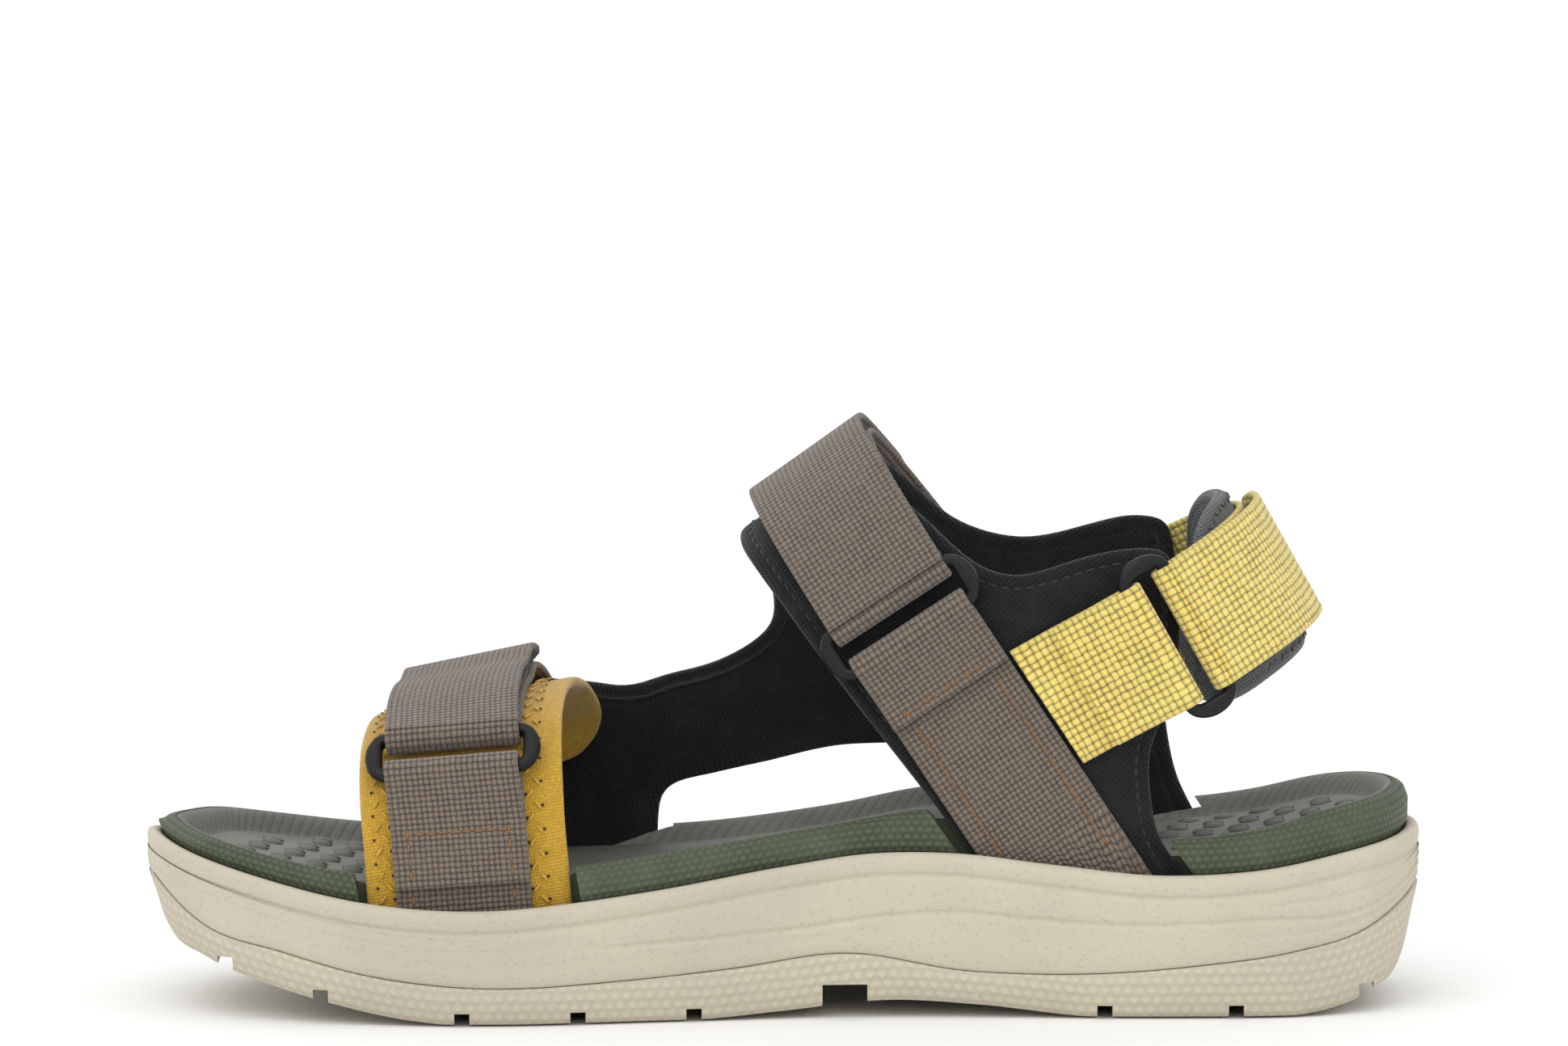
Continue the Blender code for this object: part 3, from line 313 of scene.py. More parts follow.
class Blend:
    """The lateral upper's form: the forefoot tunnel, run smoothly into the ankle tunnel."""

    def __init__(self, fore, rear, fore_end, rear_start):
        self.upside = 1
        self.fore, self.rear = fore, rear
        self.fore_end, self.rear_start = fore_end, rear_start
        self.stride = 45.0

    def at(self, along, girth):
        t = min(max(along, 0.0), 1.0)
        w = t * t * (3 - 2 * t)
        a = self.fore.at(self.fore_end + along * self.stride, girth)
        b = self.rear.at(self.rear_start + (along - 1) * self.stride, girth)
        return a * (1 - w) + b * w

    def locate(self, x, z, side):
        found = None
        for along in np.linspace(-1.6, 3.2, 49):
            for girth in np.linspace(4, 130, 43) * side:
                p = self.at(along, girth)
                miss = math.hypot(p[0] - x, p[2] - z)
                if found is None or miss < found[0]:
                    found = (miss, along, girth)
        _, along, girth = found
        step_a, step_g = 0.05, 1.5
        while step_g > 0.01:
            tries = [
                (along + i * step_a, girth + j * step_g) for i in (-1, 0, 1) for j in (-1, 0, 1)
            ]
            along, girth = min(tries, key=lambda q: math.hypot(self.at(*q)[0] - x, self.at(*q)[2] - z))
            step_a, step_g = step_a * 0.6, step_g * 0.6
        return along, girth


def off(form, along, girth, height):
    """The point that far outside the form."""
    p = form.at(along, girth)
    da = 0.5 if isinstance(form, Form) else 0.01
    across = form.at(along + da, girth) - form.at(along - da, girth)
    round_ = form.at(along, girth + 0.6) - form.at(along, girth - 0.6)
    return p + unit(np.cross(across, round_)) * height * form.upside


FORE_FRONT, FORE_REAR = -93.0, -34.0  # where the forefoot's pieces enter the sole
ANKLE_FRONT, ANKLE_REAR = 41.0, 87.0


def fore_walls():
    walls = {}
    for side, stack in ((-1, STACK), (1, STACK + LIFT)):
        ends = []
        for x in (FORE_FRONT, FORE_REAR if side > 0 else -47.0):
            along = x * math.cos(math.radians(FOREFOOT_TILT)) + 27 * math.sin(math.radians(FOREFOOT_TILT))
            ends.append((along, edge_y(x, side) - side * (SEAT + stack)))
        walls[side] = ends
    return walls


def ankle_walls():
    walls = {}
    for side, stack in ((-1, STACK), (1, STACK + LIFT)):
        y = min(abs(edge_y(x, side)) for x in (ANKLE_FRONT, ANKLE_REAR)) - SEAT - stack
        walls[side] = [(0.0, side * y), (1.0, side * y)]
    return walls


def profile(top, shoulders, low, lean=0.0):
    """(share of the wall's y, height) pairs, from the medial wall over the crest to the lateral wall."""
    left = [(-1.0, low)] + [(-u - lean * (1 - u), top - d) for u, d in shoulders[::-1]]
    right = [(u - lean * (1 - u), top - d) for u, d in shoulders] + [(1.0, low)]
    return left + [(-lean, top)] + right


FORE = Form(
    FOREFOOT_TILT, 1,
    profile(
        FOREFOOT_HEIGHT, [(0.32, 1.3), (0.62, 5.2), (0.86, 13.0), (0.97, 23.0), (1.0, 34.0)], 12.0,
        0.12
    ),
    fore_walls(), 42.0,
)
HEELS = Form(
    90 + HEEL_TILT, -1,
    profile(HEEL_REACH, [(0.36, 1.9), (0.68, 7.8), (0.92, 18.5), (1.0, 31.0)], 45.0),
    ankle_walls(), 31.0,
)
ANKLE = Form(
    INSTEP_TILT, 1,
    profile(INSTEP_HEIGHT, [(0.36, 3.6), (0.68, 13.5), (0.89, 29.0), (0.985, 46.0), (1.0, 66.0)], -45.0),
    ankle_walls(), 31.0, HEELS,
)
LATERAL = Blend(FORE, ANKLE, -25.0, 52.0)


def foot_girth(form, along, side, height):
    """The girth where a piece's tail meets the cavity's floor, less the clearance."""
    low, high = form.girth_of(form.c[0], side) * 1.0, 0.0
    for _ in range(40):
        mid = (low + high) / 2
        p = off(form, along, mid, height)
        if p[2] > float(cavity_floor(p[0], p[1])) + GAP:
            high = mid
        else:
            low = mid
    return high


# ---------------------------------------------------------------- straps' paths

class Path:
    """A strap's middle line on a form: along = start + slope * girth. Stations are pairs of edge points."""

    def __init__(self, form, start, slope, ring_drop, bar_height):
        self.form, self.start, self.slope = form, start, slope
        self.turn = math.atan(slope)
        self.ring_girth = form.girth_of(max(form.c) - ring_drop, -1)
        p, q = self.edges(self.ring_girth, bar_height, WEBBING_WIDTH)
        self.origin = (p + q) / 2
        self.w = unit(q - p)
        ahead = self.edges(
            self.ring_girth + 1, bar_height, 1
        )[0] - self.edges(self.ring_girth - 1, bar_height, 1)[0]
        self.d = unit(ahead - self.w * (ahead @ self.w))
        self.n = np.cross(self.w, self.d) * form.upside
        self.low_bar = self.origin - self.d * BAR_SPREAD
        self.high_bar = self.origin + self.d * BAR_SPREAD

    def edge(self, girth, height, t):
        along = self.start + self.slope * girth + t * math.cos(self.turn)
        return off(self.form, along, girth - t * math.sin(self.turn), height)

    def edges(self, girth, height, width):
        return self.edge(girth, height, -width / 2), self.edge(girth, height, width / 2)

    def near(self, middle, width=WEBBING_WIDTH):
        """A station square to the ring, at a point given in the ring's own axes."""
        return middle - self.w * width / 2, middle + self.w * width / 2

    def arc(self, bar, angles, radius):
        return [
            self.near(
                bar + self.d * radius * math.cos(
                    math.radians(a)
                ) + self.n * radius * math.sin(math.radians(a))
            )
            for a in angles
        ]

    def tail(self, side, height):
        """The slanted end on the cavity's floor, and the girth of the first square station above it."""
        ends, girths = [], []
        for t in (-WEBBING_WIDTH / 2, WEBBING_WIDTH / 2):
            guess = side * 80.0
            for _ in range(6):
                along = self.start + self.slope * guess + t * math.cos(self.turn)
                guess = foot_girth(self.form, along, side, height)
            ends.append(off(self.form, along, guess, height))
            girths.append(guess + t * math.sin(self.turn))
        first = (max if side < 0 else min)(girths) - side * 2.5
        return tuple(ends), first


def layer(under, thickness):
    """The middle height of a layer that lies on top of one whose outer face is at under."""
    return under + GAP + thickness / 2


BASE = layer(PANEL, WEBBING)
DOUBLE = layer(BASE + WEBBING / 2, WEBBING)
LOOP = layer(BASE + WEBBING / 2, LOOP_PATCH)
HOOK = layer(LOOP + LOOP_PATCH / 2, HOOK_PATCH)
TAB = layer(HOOK + HOOK_PATCH / 2, WEBBING)
HEEL_BASE = layer(HEEL_PAD, WEBBING)
HEEL_RISE = HEEL_BASE - BASE

FORE_PATH = Path(FORE, FOREFOOT_STRAP_AT, 0.113, FOREFOOT_RING_DROP, BASE + TURN)
INSTEP_PATH = Path(ANKLE, INSTEP_STRAP_AT, 0.035, INSTEP_RING_DROP, BASE + TURN)
HEEL_PATH = Path(HEELS, HEEL_STRAP_AT, 0.0, HEEL_RING_DROP, HEEL_BASE + TURN)


def steps(a, b, size=6.0):
    return np.linspace(a, b, max(2, int(abs(b - a) / size) + 2))


def eased(girth, start, end):
    t = min(max((girth - start) / (end - start), 0.0), 1.0)
    return t * t * (3 - 2 * t)


def rounded(path, stations, width, corner, at_start=False, at_end=True):
    """Stations along a band whose free ends have rounded corners. stations are (girth, height)."""
    girths = [g for g, _ in stations]
    heights = [h for _, h in stations]
    order = 1 if girths[-1] > girths[0] else -1
    extra = [0.0, 0.13, 0.35, 0.65, 1.0]
    marks = [g for g in girths]
    if at_start:
        marks = [girths[0] + order * corner * e for e in extra] + [
            g for g in girths if order * (g - girths[0]) > corner * 1.2
        ]
    if at_end:
        marks = [g for g in marks if order * (girths[-1] - g) > corner * 1.2]
        marks += [girths[-1] - order * corner * e for e in extra[::-1]]
    pairs = []
    for g in marks:
        inset_by = 0.0
        for used, end in ((at_start, girths[0]), (at_end, girths[-1])):
            reach = abs(g - end)
            if used and reach < corner:
                inset_by = max(inset_by, corner - math.sqrt(max(0.0, corner**2 - (corner - reach) ** 2)))
        height = float(np.interp(g * order, [q * order for q in girths], heights))
        pairs.append(path.edges(g, height, width - 2 * inset_by))
    return pairs


def dense(points, size):
    """Points along straight lines between the given ones, closed, no further apart than size."""
    loop = []
    for a, b in zip(points, list(points[1:]) + [points[0]]):
        a, b = np.array(a), np.array(b)
        count = max(1, int(math.ceil(np.linalg.norm(b - a) / size)))
        loop.extend(a + (b - a) * k / count for k in range(count))
    return loop


def inside(point, loop):
    x, y = point
    found = False
    for (x0, y0), (x1, y1) in zip(loop, loop[1:] + loop[:1]):
        if (y0 > y) != (y1 > y) and x < (x1 - x0) * (y - y0) / (y1 - y0) + x0:
            found = not found
    return found


def curve(points, count):
    """Evenly spaced points on a smooth line through the given ones."""
    return [tuple(p) for p in resample(smooth_line(points), count)]


# ---------------------------------------------------------------- meshes

ROUND = 288  # points round the sole
SOLE_LOOP = outline[:: len(outline) // ROUND]
SOLE_OUT = normals_2d(SOLE_LOOP)


def soften(loop, rounds=3):
    loop = np.array(loop, float)
    for _ in range(rounds):
        loop = loop * 0.5 + (np.roll(loop, 1, axis=0) + np.roll(loop, -1, axis=0)) * 0.25
    return loop


def new_piece(name, points, faces, finishes, indices=None, uvs=None, sharp=None):
    """A smooth mesh object from points in millimetres, its faces turned outwards."""
    mesh = bpy.data.meshes.new(name)
    mesh.from_pydata([tuple(float(c) * MM for c in p) for p in points], [], [tuple(f) for f in faces])
    if uvs is not None:
        mesh.uv_layers.new(name="Surface").data.foreach_set("uv", np.array(uvs, np.float32).ravel())
    for finish in finishes:
        mesh.materials.append(finish)
    if indices is not None:
        mesh.polygons.foreach_set("material_index", indices)
    work = bmesh.new()
    work.from_mesh(mesh)
    if work.calc_volume(signed=True) < 0:
        bmesh.ops.reverse_faces(work, faces=work.faces)
    work.to_mesh(mesh)
    work.free()
    mesh.shade_smooth()
    if sharp:
        mesh.set_sharp_from_angle(angle=math.radians(sharp))
    obj = bpy.data.objects.new(name, mesh)
    bpy.context.scene.collection.objects.link(obj)
    return obj


def settle(obj):
    """The object's modifiers made real."""
    mesh = bpy.data.meshes.new_from_object(obj.evaluated_get(bpy.context.evaluated_depsgraph_get()))
    obj.modifiers.clear()
    obj.data = mesh
    return obj


def carve(body, cutters, sharp=35):
    for cutter in cutters:
        cut = body.modifiers.new("Cut", "BOOLEAN")
        cut.object, cut.operation, cut.solver = cutter, "DIFFERENCE", "EXACT"
    settle(body)
    for cutter in cutters:
        bpy.data.objects.remove(cutter)
    body.data.set_sharp_from_angle(angle=math.radians(sharp))
    return body


def block(name, low, high):
    corners = [(x, y, z) for x in (low[0], high[0]) for y in (low[1], high[1]) for z in (low[2], high[2])]
    faces = [(0, 1, 3, 2), (4, 6, 7, 5), (0, 4, 5, 1), (2, 3, 7, 6), (0, 2, 6, 4), (1, 5, 7, 3)]
    return new_piece(name, corners, faces, [])


def sole_ring(distance, height, evened=0):
    """A loop round the sole, distance inwards. evened is the number of rounds that soften its corners."""
    flat = soften(SOLE_LOOP - SOLE_OUT * np.reshape(distance, (-1, 1)), evened)
    return np.column_stack([flat, height(flat[:, 0], flat[:, 1])])


def sole_shape(name, rings, bottom, top, finishes, split=None, sharp=None, cells=14):
    """Rings stacked into a closed solid with two lids. From ring split on, the second finish is used."""
    count = ROUND
    points = [p for ring in rings for p in ring]
    girth = np.concatenate(
        [[0], np.cumsum(np.linalg.norm(np.roll(SOLE_LOOP, -1, axis=0) - SOLE_LOOP, axis=1))]
    )
    rise = [np.zeros(count)]
    for a, b in zip(rings, rings[1:]):
        rise.append(rise[-1] + np.linalg.norm(b - a, axis=1))
    faces, uvs, indices = [], [], []
    for level in range(len(rings) - 1):
        for i in range(count):
            j = (i + 1) % count
            a, b = level * count, (level + 1) * count
            faces.append((a + i, a + j, b + j, b + i))
            indices.append(1 if split is not None and level >= split else 0)
            for u, v in (
                (i, rise[level][i]), (i + 1, rise[level][j]), (i + 1, rise[level + 1][j]),
                (i, rise[level + 1][i])
            ):
                uvs.append((girth[u] * MM, v * MM))

    def lid(level, height):
        ring, rows = rings[level], []
        for i in range(1, count // 2):
            near, far = ring[i], ring[count - i]
            row = [level * count + i]
            for k in range(1, cells):
                x, y = near[:2] + (far[:2] - near[:2]) * k / cells
                points.append((x, y, float(height(x, y))))
                row.append(len(points) - 1)
            rows.append(row + [level * count + count - i])
        made = []
        for a, b in zip(rows, rows[1:]):
            made.extend((a[k], b[k], b[k + 1], a[k + 1]) for k in range(cells))
        made.extend((level * count, rows[0][k], rows[0][k + 1]) for k in range(cells))
        made.extend((level * count + count // 2, rows[-1][k + 1], rows[-1][k]) for k in range(cells))
        if level == 0:
            made = [face[::-1] for face in made]
        for face in made:
            faces.append(face)
            indices.append(1 if level and split is not None else 0)
            uvs.extend((points[k][0] * MM, points[k][1] * MM) for k in face)

    lid(0, bottom)
    lid(len(rings) - 1, top)
    return new_piece(name, points, faces, finishes, indices, uvs, sharp)


def band(name, stations, thickness, finish, cells=8, phase=0.0, closed_ends=(True, True)):
    """Webbing or tape through pairs of edge points. Its UV map is in metres, along and across."""
    left = np.array([s[0] for s in stations])
    right = np.array([s[1] for s in stations])
    middle = (left + right) / 2
    along = np.gradient(middle, axis=0, edge_order=2)
    face = np.cross(along, right - left)
    face /= np.linalg.norm(face, axis=1, keepdims=True)
    run = lengths(middle) + phase
    half = np.linalg.norm(right - left, axis=1) / 2
    r = thickness / 2
    flat = [(-1 + 2 * k / cells, 1.0, 0.0) for k in range(1, cells)]
    edge = [
        (1.0, 1.0, -0.62), (1.0, 0.86, -0.24), (1.0, 0.5, -0.06), (1.0, 0.0, 0.0),
        (1.0, -0.5, -0.06), (1.0, -0.86, -0.24), (1.0, -1.0, -0.62)
    ]
    other = [(-s, -h, -i) for s, h, i in edge]
    section = edge[::-1][:0] + other[3:] + flat + edge + [(-s, -h, i) for s, h, i in flat] + other[:3]
    points, across = [], []
    for k in range(len(stations)):
        w = (right[k] - left[k]) / (2 * half[k])
        for s, h, shift in section:
            at = s * half[k] + shift
            points.append(middle[k] + w * at + face[k] * h * r)
            across.append(at)
    n = len(section)
    faces, uvs = [], []
    for k in range(len(stations) - 1):
        for m in range(n):
            o = (m + 1) % n
            quad = (k * n + m, (k + 1) * n + m, (k + 1) * n + o, k * n + o)
            faces.append(quad)
            uvs.extend((run[q // n] * MM, across[q] * MM) for q in quad)
    for used, k in zip(closed_ends, (0, len(stations) - 1)):
        if used:
            ring = tuple(range(k * n, k * n + n))
            faces.append(ring if k == 0 else ring[::-1])
            uvs.extend((run[k] * MM, across[q] * MM) for q in faces[-1])
    return new_piece(name, points, faces, [finish], uvs=uvs, sharp=55)


def oval_ring(name, path, finish):
    """A moulded ring with a round bar each side of its slot and bevelled, rounded ends."""
    slot = WEBBING_WIDTH / 2 + SLOT_CLEARANCE
    inner_half, outer_half, reach = BAR_SPREAD - BAR_RADIUS, BAR_SPREAD + BAR_RADIUS, slot + RING_END
    inner = [(x, inner_half) for x in np.linspace(slot - 1.0, -slot + 1.0, 17)]
    outer = [(x, outer_half) for x, _ in inner]
    for a in np.pi / 2 + np.pi * np.arange(1, 20) / 20:
        r = (abs(math.cos(a)) ** 4 + abs(math.sin(a)) ** 4) ** -0.25
        inner.append((-slot + 1.0 + math.cos(a) * r, math.sin(a) * r * inner_half))
        outer.append((-slot + 1.0 + math.cos(a) * (reach - slot + 1.0), math.sin(a) * outer_half))
    inner += [(-x, -y) for x, y in inner]
    outer += [(-x, -y) for x, y in outer]
    points, faces, around = [], [], 20
    for (ix, iy), (ox, oy) in zip(inner, outer):
        for k in range(around):
            a = 2 * math.pi * (k + 0.5) / around
            full = (abs(math.cos(a)) ** 2.6 + abs(math.sin(a)) ** 2.6) ** (-1 / 2.6)
            share = (1 + math.cos(a) * full) / 2
            x, y = ix + (ox - ix) * share, iy + (oy - iy) * share
            points.append(path.origin + path.w * x + path.d * y + path.n * BAR_RADIUS * math.sin(a) * full)
    count = len(inner)
    for i in range(count):
        j = (i + 1) % count
        faces.extend(
            (i * around + k, j * around + k, j * around + (k + 1) % around, i * around + (k + 1) % around)
            for k in range(around)
        )
    return new_piece(name, points, faces, [finish], sharp=60)


# ---------------------------------------------------------------- padded panels

def border_of(pattern, along_scale, size=2.0):
    loop = dense([(a * along_scale, g) for a, g in pattern], size)
    return soften(resample(np.array(loop), int(lengths(np.array(loop + loop[:1]))[-1] / size), closed=True))


def to_border(points, loop):
    """Each flat point's distance to a closed line."""
    a, b = loop, np.roll(loop, -1, axis=0)
    ab = b - a
    t = np.einsum("ijk,jk->ij", points[:, None] - a[None], ab) / np.einsum("jk,jk->j", ab, ab)
    t = np.clip(t, 0, 1)
    return np.linalg.norm(points[:, None] - (a[None] + t[..., None] * ab[None]), axis=2).min(axis=1)


def winding(loop):
    b = np.roll(loop, -1, axis=0)
    return 1.0 if np.sum(loop[:, 0] * b[:, 1] - b[:, 0] * loop[:, 1]) > 0 else -1.0


def inner_line(loop, distance, size):
    """Evenly spaced points that keep one distance from a panel's border, in runs."""
    moved = loop - normals_2d(loop) * winding(loop) * distance
    keep = to_border(moved, loop) > distance * 0.96
    runs, run = [], []
    start = int(np.argmin(keep)) if not keep.all() else 0
    for k in range(len(loop) + 1):
        i = (start + k) % len(loop)
        if keep[i] and not (k == len(loop) and not keep.all()):
            run.append(moved[i])
        elif run:
            runs.append(run)
            run = []
    if run:
        runs.append(run)
    out = []
    for run in runs:
        run = np.array(run)
        total = lengths(run)[-1]
        if total > size * 2:
            out.append(resample(run, int(total / size) + 1))
    return out


def padded_panel(name, form, pattern, low, high, finish, size=3.2, along_scale=1.0, edge_roll=1.25):
    """A panel with rolled edges, cut to a flat pattern of (along, girth) and laid on a form."""
    loop = border_of(pattern, along_scale)
    flats = [loop]
    for distance in (edge_roll * 0.3, edge_roll):
        moved = loop - normals_2d(loop) * winding(loop) * distance
        flats.append(moved[to_border(moved, loop) > distance * 0.9])
    lows, highs = loop.min(axis=0), loop.max(axis=0)
    grid = []
    for row, y in enumerate(np.arange(lows[1] + size / 2, highs[1], size * 0.87)):
        for x in np.arange(lows[0] + (size if row % 2 else size / 2), highs[0], size):
            grid.append((x, y))
    grid = np.array(grid)
    closed = [tuple(p) for p in loop]
    grid = grid[to_border(grid, loop) > edge_roll + size * 0.5]
    flats.append(np.array([p for p in grid if inside(p, closed)]))
    flat = np.vstack(flats)
    count = len(loop)
    places, _, triangles, *_ = delaunay_2d_cdt(
        [Vector(p) for p in flat], [(i, (i + 1) % count) for i in range(count)], [], 1, 1e-6
    )
    places = np.array([tuple(p) for p in places])
    margin = to_border(places, loop)
    on_edge = margin < 1e-4
    roll = np.sqrt(np.clip(1 - (1 - np.clip(margin / edge_roll, 0, 1)) ** 2, 0, 1))
    middle, reach = (low + high) / 2, (high - low) / 2
    points, outer, inner = [], {}, {}
    for i, (a, g) in enumerate(places):
        outer[i] = len(points)
        points.append(off(form, a / along_scale, g, middle + reach * roll[i]))
        if on_edge[i]:
            inner[i] = outer[i]
        else:
            inner[i] = len(points)
            points.append(off(form, a / along_scale, g, middle - reach * roll[i]))
    faces = [
        tuple(outer[i] for i in reversed(t)) for t in triangles
    ] + [tuple(inner[i] for i in t) for t in triangles]
    uvs = [
        tuple(places[i] * MM) for t in triangles for i in reversed(t)
    ] + [tuple(places[i] * MM) for t in triangles for i in t]
    obj = new_piece(name, points, faces, [finish], uvs=uvs)
    owner = np.zeros(len(points), int)
    side = np.zeros(len(points))
    for i in outer:
        owner[outer[i]] = owner[inner[i]] = i
        if not on_edge[i]:
            side[outer[i]], side[inner[i]] = 1, -1
    edge = obj.data.attributes.new("margin", "FLOAT", "POINT")
    edge.data.foreach_set("value", (margin[owner] * MM).astype(np.float32))
    return obj, places[owner] / np.array([along_scale, 1.0]), margin[owner], side, loop


def puff(obj, pressure, reach, frames=14):
    """Air blown into a closed fabric shell by cloth simulation. reach is each point's limit, in mm."""
    mesh = obj.data
    count = len(mesh.vertices)
    start = np.empty(count * 3, np.float32)
    mesh.vertices.foreach_get("co", start)
    start = start.reshape(-1, 3)
    reach = np.asarray(reach) * MM
    held = obj.vertex_groups.new(name="Held")
    held.add([int(i) for i in np.nonzero(reach <= 1e-6)[0]], 1.0, "REPLACE")
    cloth = obj.modifiers.new("Fabric", "CLOTH")
    cloth.settings.quality = 4
    cloth.settings.mass = 0.15
    cloth.settings.tension_stiffness = cloth.settings.compression_stiffness = 12
    cloth.settings.bending_stiffness = 0.6
    cloth.settings.vertex_group_mass = "Held"
    cloth.settings.use_pressure = True
    cloth.settings.uniform_pressure_force = pressure
    cloth.settings.effector_weights.gravity = 0
    cloth.point_cache.frame_start, cloth.point_cache.frame_end = 1, frames
    scene = bpy.context.scene
    for frame_number in range(1, frames + 1):
        scene.frame_set(frame_number)
    done = obj.evaluated_get(bpy.context.evaluated_depsgraph_get())
    end = np.empty(count * 3, np.float32)
    done.data.vertices.foreach_get("co", end)
    move = end.reshape(-1, 3) - start
    far = np.linalg.norm(move, axis=1)
    if not np.isfinite(far).all() or far.max() <= 0:
        raise RuntimeError(f"{obj.name}: the cloth simulation moved nothing")
    limit = np.maximum(reach, 1e-9)
    move *= (limit * np.tanh(far / limit) / np.maximum(far, 1e-12))[:, None]
    obj.modifiers.clear()
    obj.vertex_groups.clear()
    mesh.vertices.foreach_set("co", (start + move).ravel())
    mesh.update()
    scene.frame_set(1)


def finer(obj, levels=1):
    sub = obj.modifiers.new("Rounder", "SUBSURF")
    sub.levels = sub.render_levels = levels
    sub.boundary_smooth = "ALL"
    settle(obj)
    obj.data.shade_smooth()
    return obj


# ---------------------------------------------------------------- shader groups

class Nodes:
    """Short hand for wiring a node tree."""

    def __init__(self, tree):
        self.tree = tree

    def add(self, kind, feeds=None, **settings):
        node = self.tree.nodes.new(kind)
        for key, value in settings.items():
            setattr(node, key, value)
        for key, value in (feeds or {}).items():
            self.feed(node.inputs[key], value)
        return node

    def feed(self, socket, value):
        if isinstance(value, bpy.types.NodeSocket):
            self.tree.links.new(value, socket)
        else:
            socket.default_value = value

    def math(self, operation, a, b=0.0, c=0.0, clamp=False):
        return self.add(
            "ShaderNodeMath", {0: a, 1: b, 2: c}, operation=operation, use_clamp=clamp
        ).outputs[0]

    def noise(self, vector, scale, detail=3.0, rough=0.5):
        node = self.add(
            "ShaderNodeTexNoise",
            {"Vector": vector, "Scale": scale, "Detail": detail, "Roughness": rough}
        )
        return node.outputs["Fac"]

    def cells(self, vector, scale, feature="F1", randomness=1.0, dimensions="3D"):
        return self.add(
            "ShaderNodeTexVoronoi", {"Vector": vector, "Scale": scale, "Randomness": randomness},
            feature=feature, voronoi_dimensions=dimensions,
        ).outputs["Distance"]

    def ramp(self, value, low, high, out_low=0.0, out_high=1.0, smooth=True):
        node = self.add("ShaderNodeMapRange", {0: value, 1: low, 2: high, 3: out_low, 4: out_high})
        node.interpolation_type = "SMOOTHSTEP" if smooth else "LINEAR"
        return node.outputs[0]

    def mix(self, share, a, b):
        node = self.add("ShaderNodeMix", data_type="RGBA")
        self.feed(node.inputs[0], share)
        self.feed(node.inputs[6], a)
        self.feed(node.inputs[7], b)
        return node.outputs[2]


def shader_group(name, inputs, outputs):
    tree = bpy.data.node_groups.new(name, "ShaderNodeTree")
    for label, kind, default in inputs:
        socket = tree.interface.new_socket(name=label, in_out="INPUT", socket_type=kind)
        if default is not None:
            socket.default_value = default
    for label, kind in outputs:
        tree.interface.new_socket(name=label, in_out="OUTPUT", socket_type=kind)
    n = Nodes(tree)
    return tree, n, n.add("NodeGroupInput").outputs, n.add("NodeGroupOutput")


FLOAT, VECTOR, COLOUR = "NodeSocketFloat", "NodeSocketVector", "NodeSocketColor"


def make_grain_group():
    """Fine pitted grain of moulded foam, with slow unevenness."""
    tree, n, put, out = shader_group(
        "Moulded grain", [("Vector", VECTOR, None), ("Scale", FLOAT, 2600.0)],
        [("Height", FLOAT), ("Pits", FLOAT), ("Unevenness", FLOAT)],
    )
    fine = n.noise(put["Vector"], put["Scale"], 2.0)
    pits = n.ramp(n.cells(put["Vector"], n.math("MULTIPLY", put["Scale"], 0.42)), 0.05, 0.4)
    slow = n.noise(put["Vector"], n.math("MULTIPLY", put["Scale"], 0.012), 3.0)
    n.feed(
        out.inputs["Height"],
        n.math("ADD", n.math("MULTIPLY", fine, 0.6), n.math("MULTIPLY", pits, 0.5))
    )
    n.feed(out.inputs["Pits"], pits)
    n.feed(out.inputs["Unevenness"], slow)
    return tree


def make_weave_group():
    """Threads over and under each other on a UV map in metres. Repeat 2 is plain, 3 and 4 are twill."""
    tree, n, put, out = shader_group(
        "Weave",
        [("UV", VECTOR, None), ("Along", FLOAT, 0.0012), ("Across", FLOAT, 0.0012), ("Repeat", FLOAT, 2.0)],
        [("Height", FLOAT), ("Gaps", FLOAT), ("Thread", FLOAT)],
    )
    parts = n.add("ShaderNodeSeparateXYZ", {0: put["UV"]}).outputs
    wobble = n.math("MULTIPLY", n.math("SUBTRACT", n.noise(put["UV"], 420.0, 1.0), 0.5), 0.35)
    u = n.math("ADD", n.math("DIVIDE", parts[0], put["Along"]), wobble)
    v = n.math("ADD", n.math("DIVIDE", parts[1], put["Across"]), wobble)
    cell_u, cell_v = n.math("FLOOR", u), n.math("FLOOR", v)
    fu = n.math("SUBTRACT", n.math("FRACT", u), 0.5)
    fv = n.math("SUBTRACT", n.math("FRACT", v), 0.5)
    turn = n.math("FLOORED_MODULO", n.math("ADD", cell_u, cell_v), put["Repeat"])
    over = n.math("LESS_THAN", turn, n.math("MULTIPLY", put["Repeat"], 0.5))
    hump_u = n.math("COSINE", n.math("MULTIPLY", fu, math.pi))
    hump_v = n.math("COSINE", n.math("MULTIPLY", fv, math.pi))
    warp = n.math("MULTIPLY", n.math("POWER", hump_v, 0.5), n.math("MULTIPLY_ADD", hump_u, 0.5, 0.5))
    weft = n.math("MULTIPLY", n.math("POWER", hump_u, 0.5), n.math("MULTIPLY_ADD", hump_v, 0.5, 0.5))
    height = n.math(
        "ADD", n.math("MULTIPLY", warp, over),
        n.math("MULTIPLY", weft, n.math("SUBTRACT", 1.0, over))
    )
    place = n.add("ShaderNodeCombineXYZ", {0: cell_u, 1: cell_v}).outputs[0]
    thread = n.add("ShaderNodeTexWhiteNoise", {"Vector": place}, noise_dimensions="2D").outputs["Value"]
    n.feed(out.inputs["Height"], height)
    n.feed(out.inputs["Gaps"], n.ramp(height, 0.62, 0.2))
    n.feed(out.inputs["Thread"], thread)
    return tree


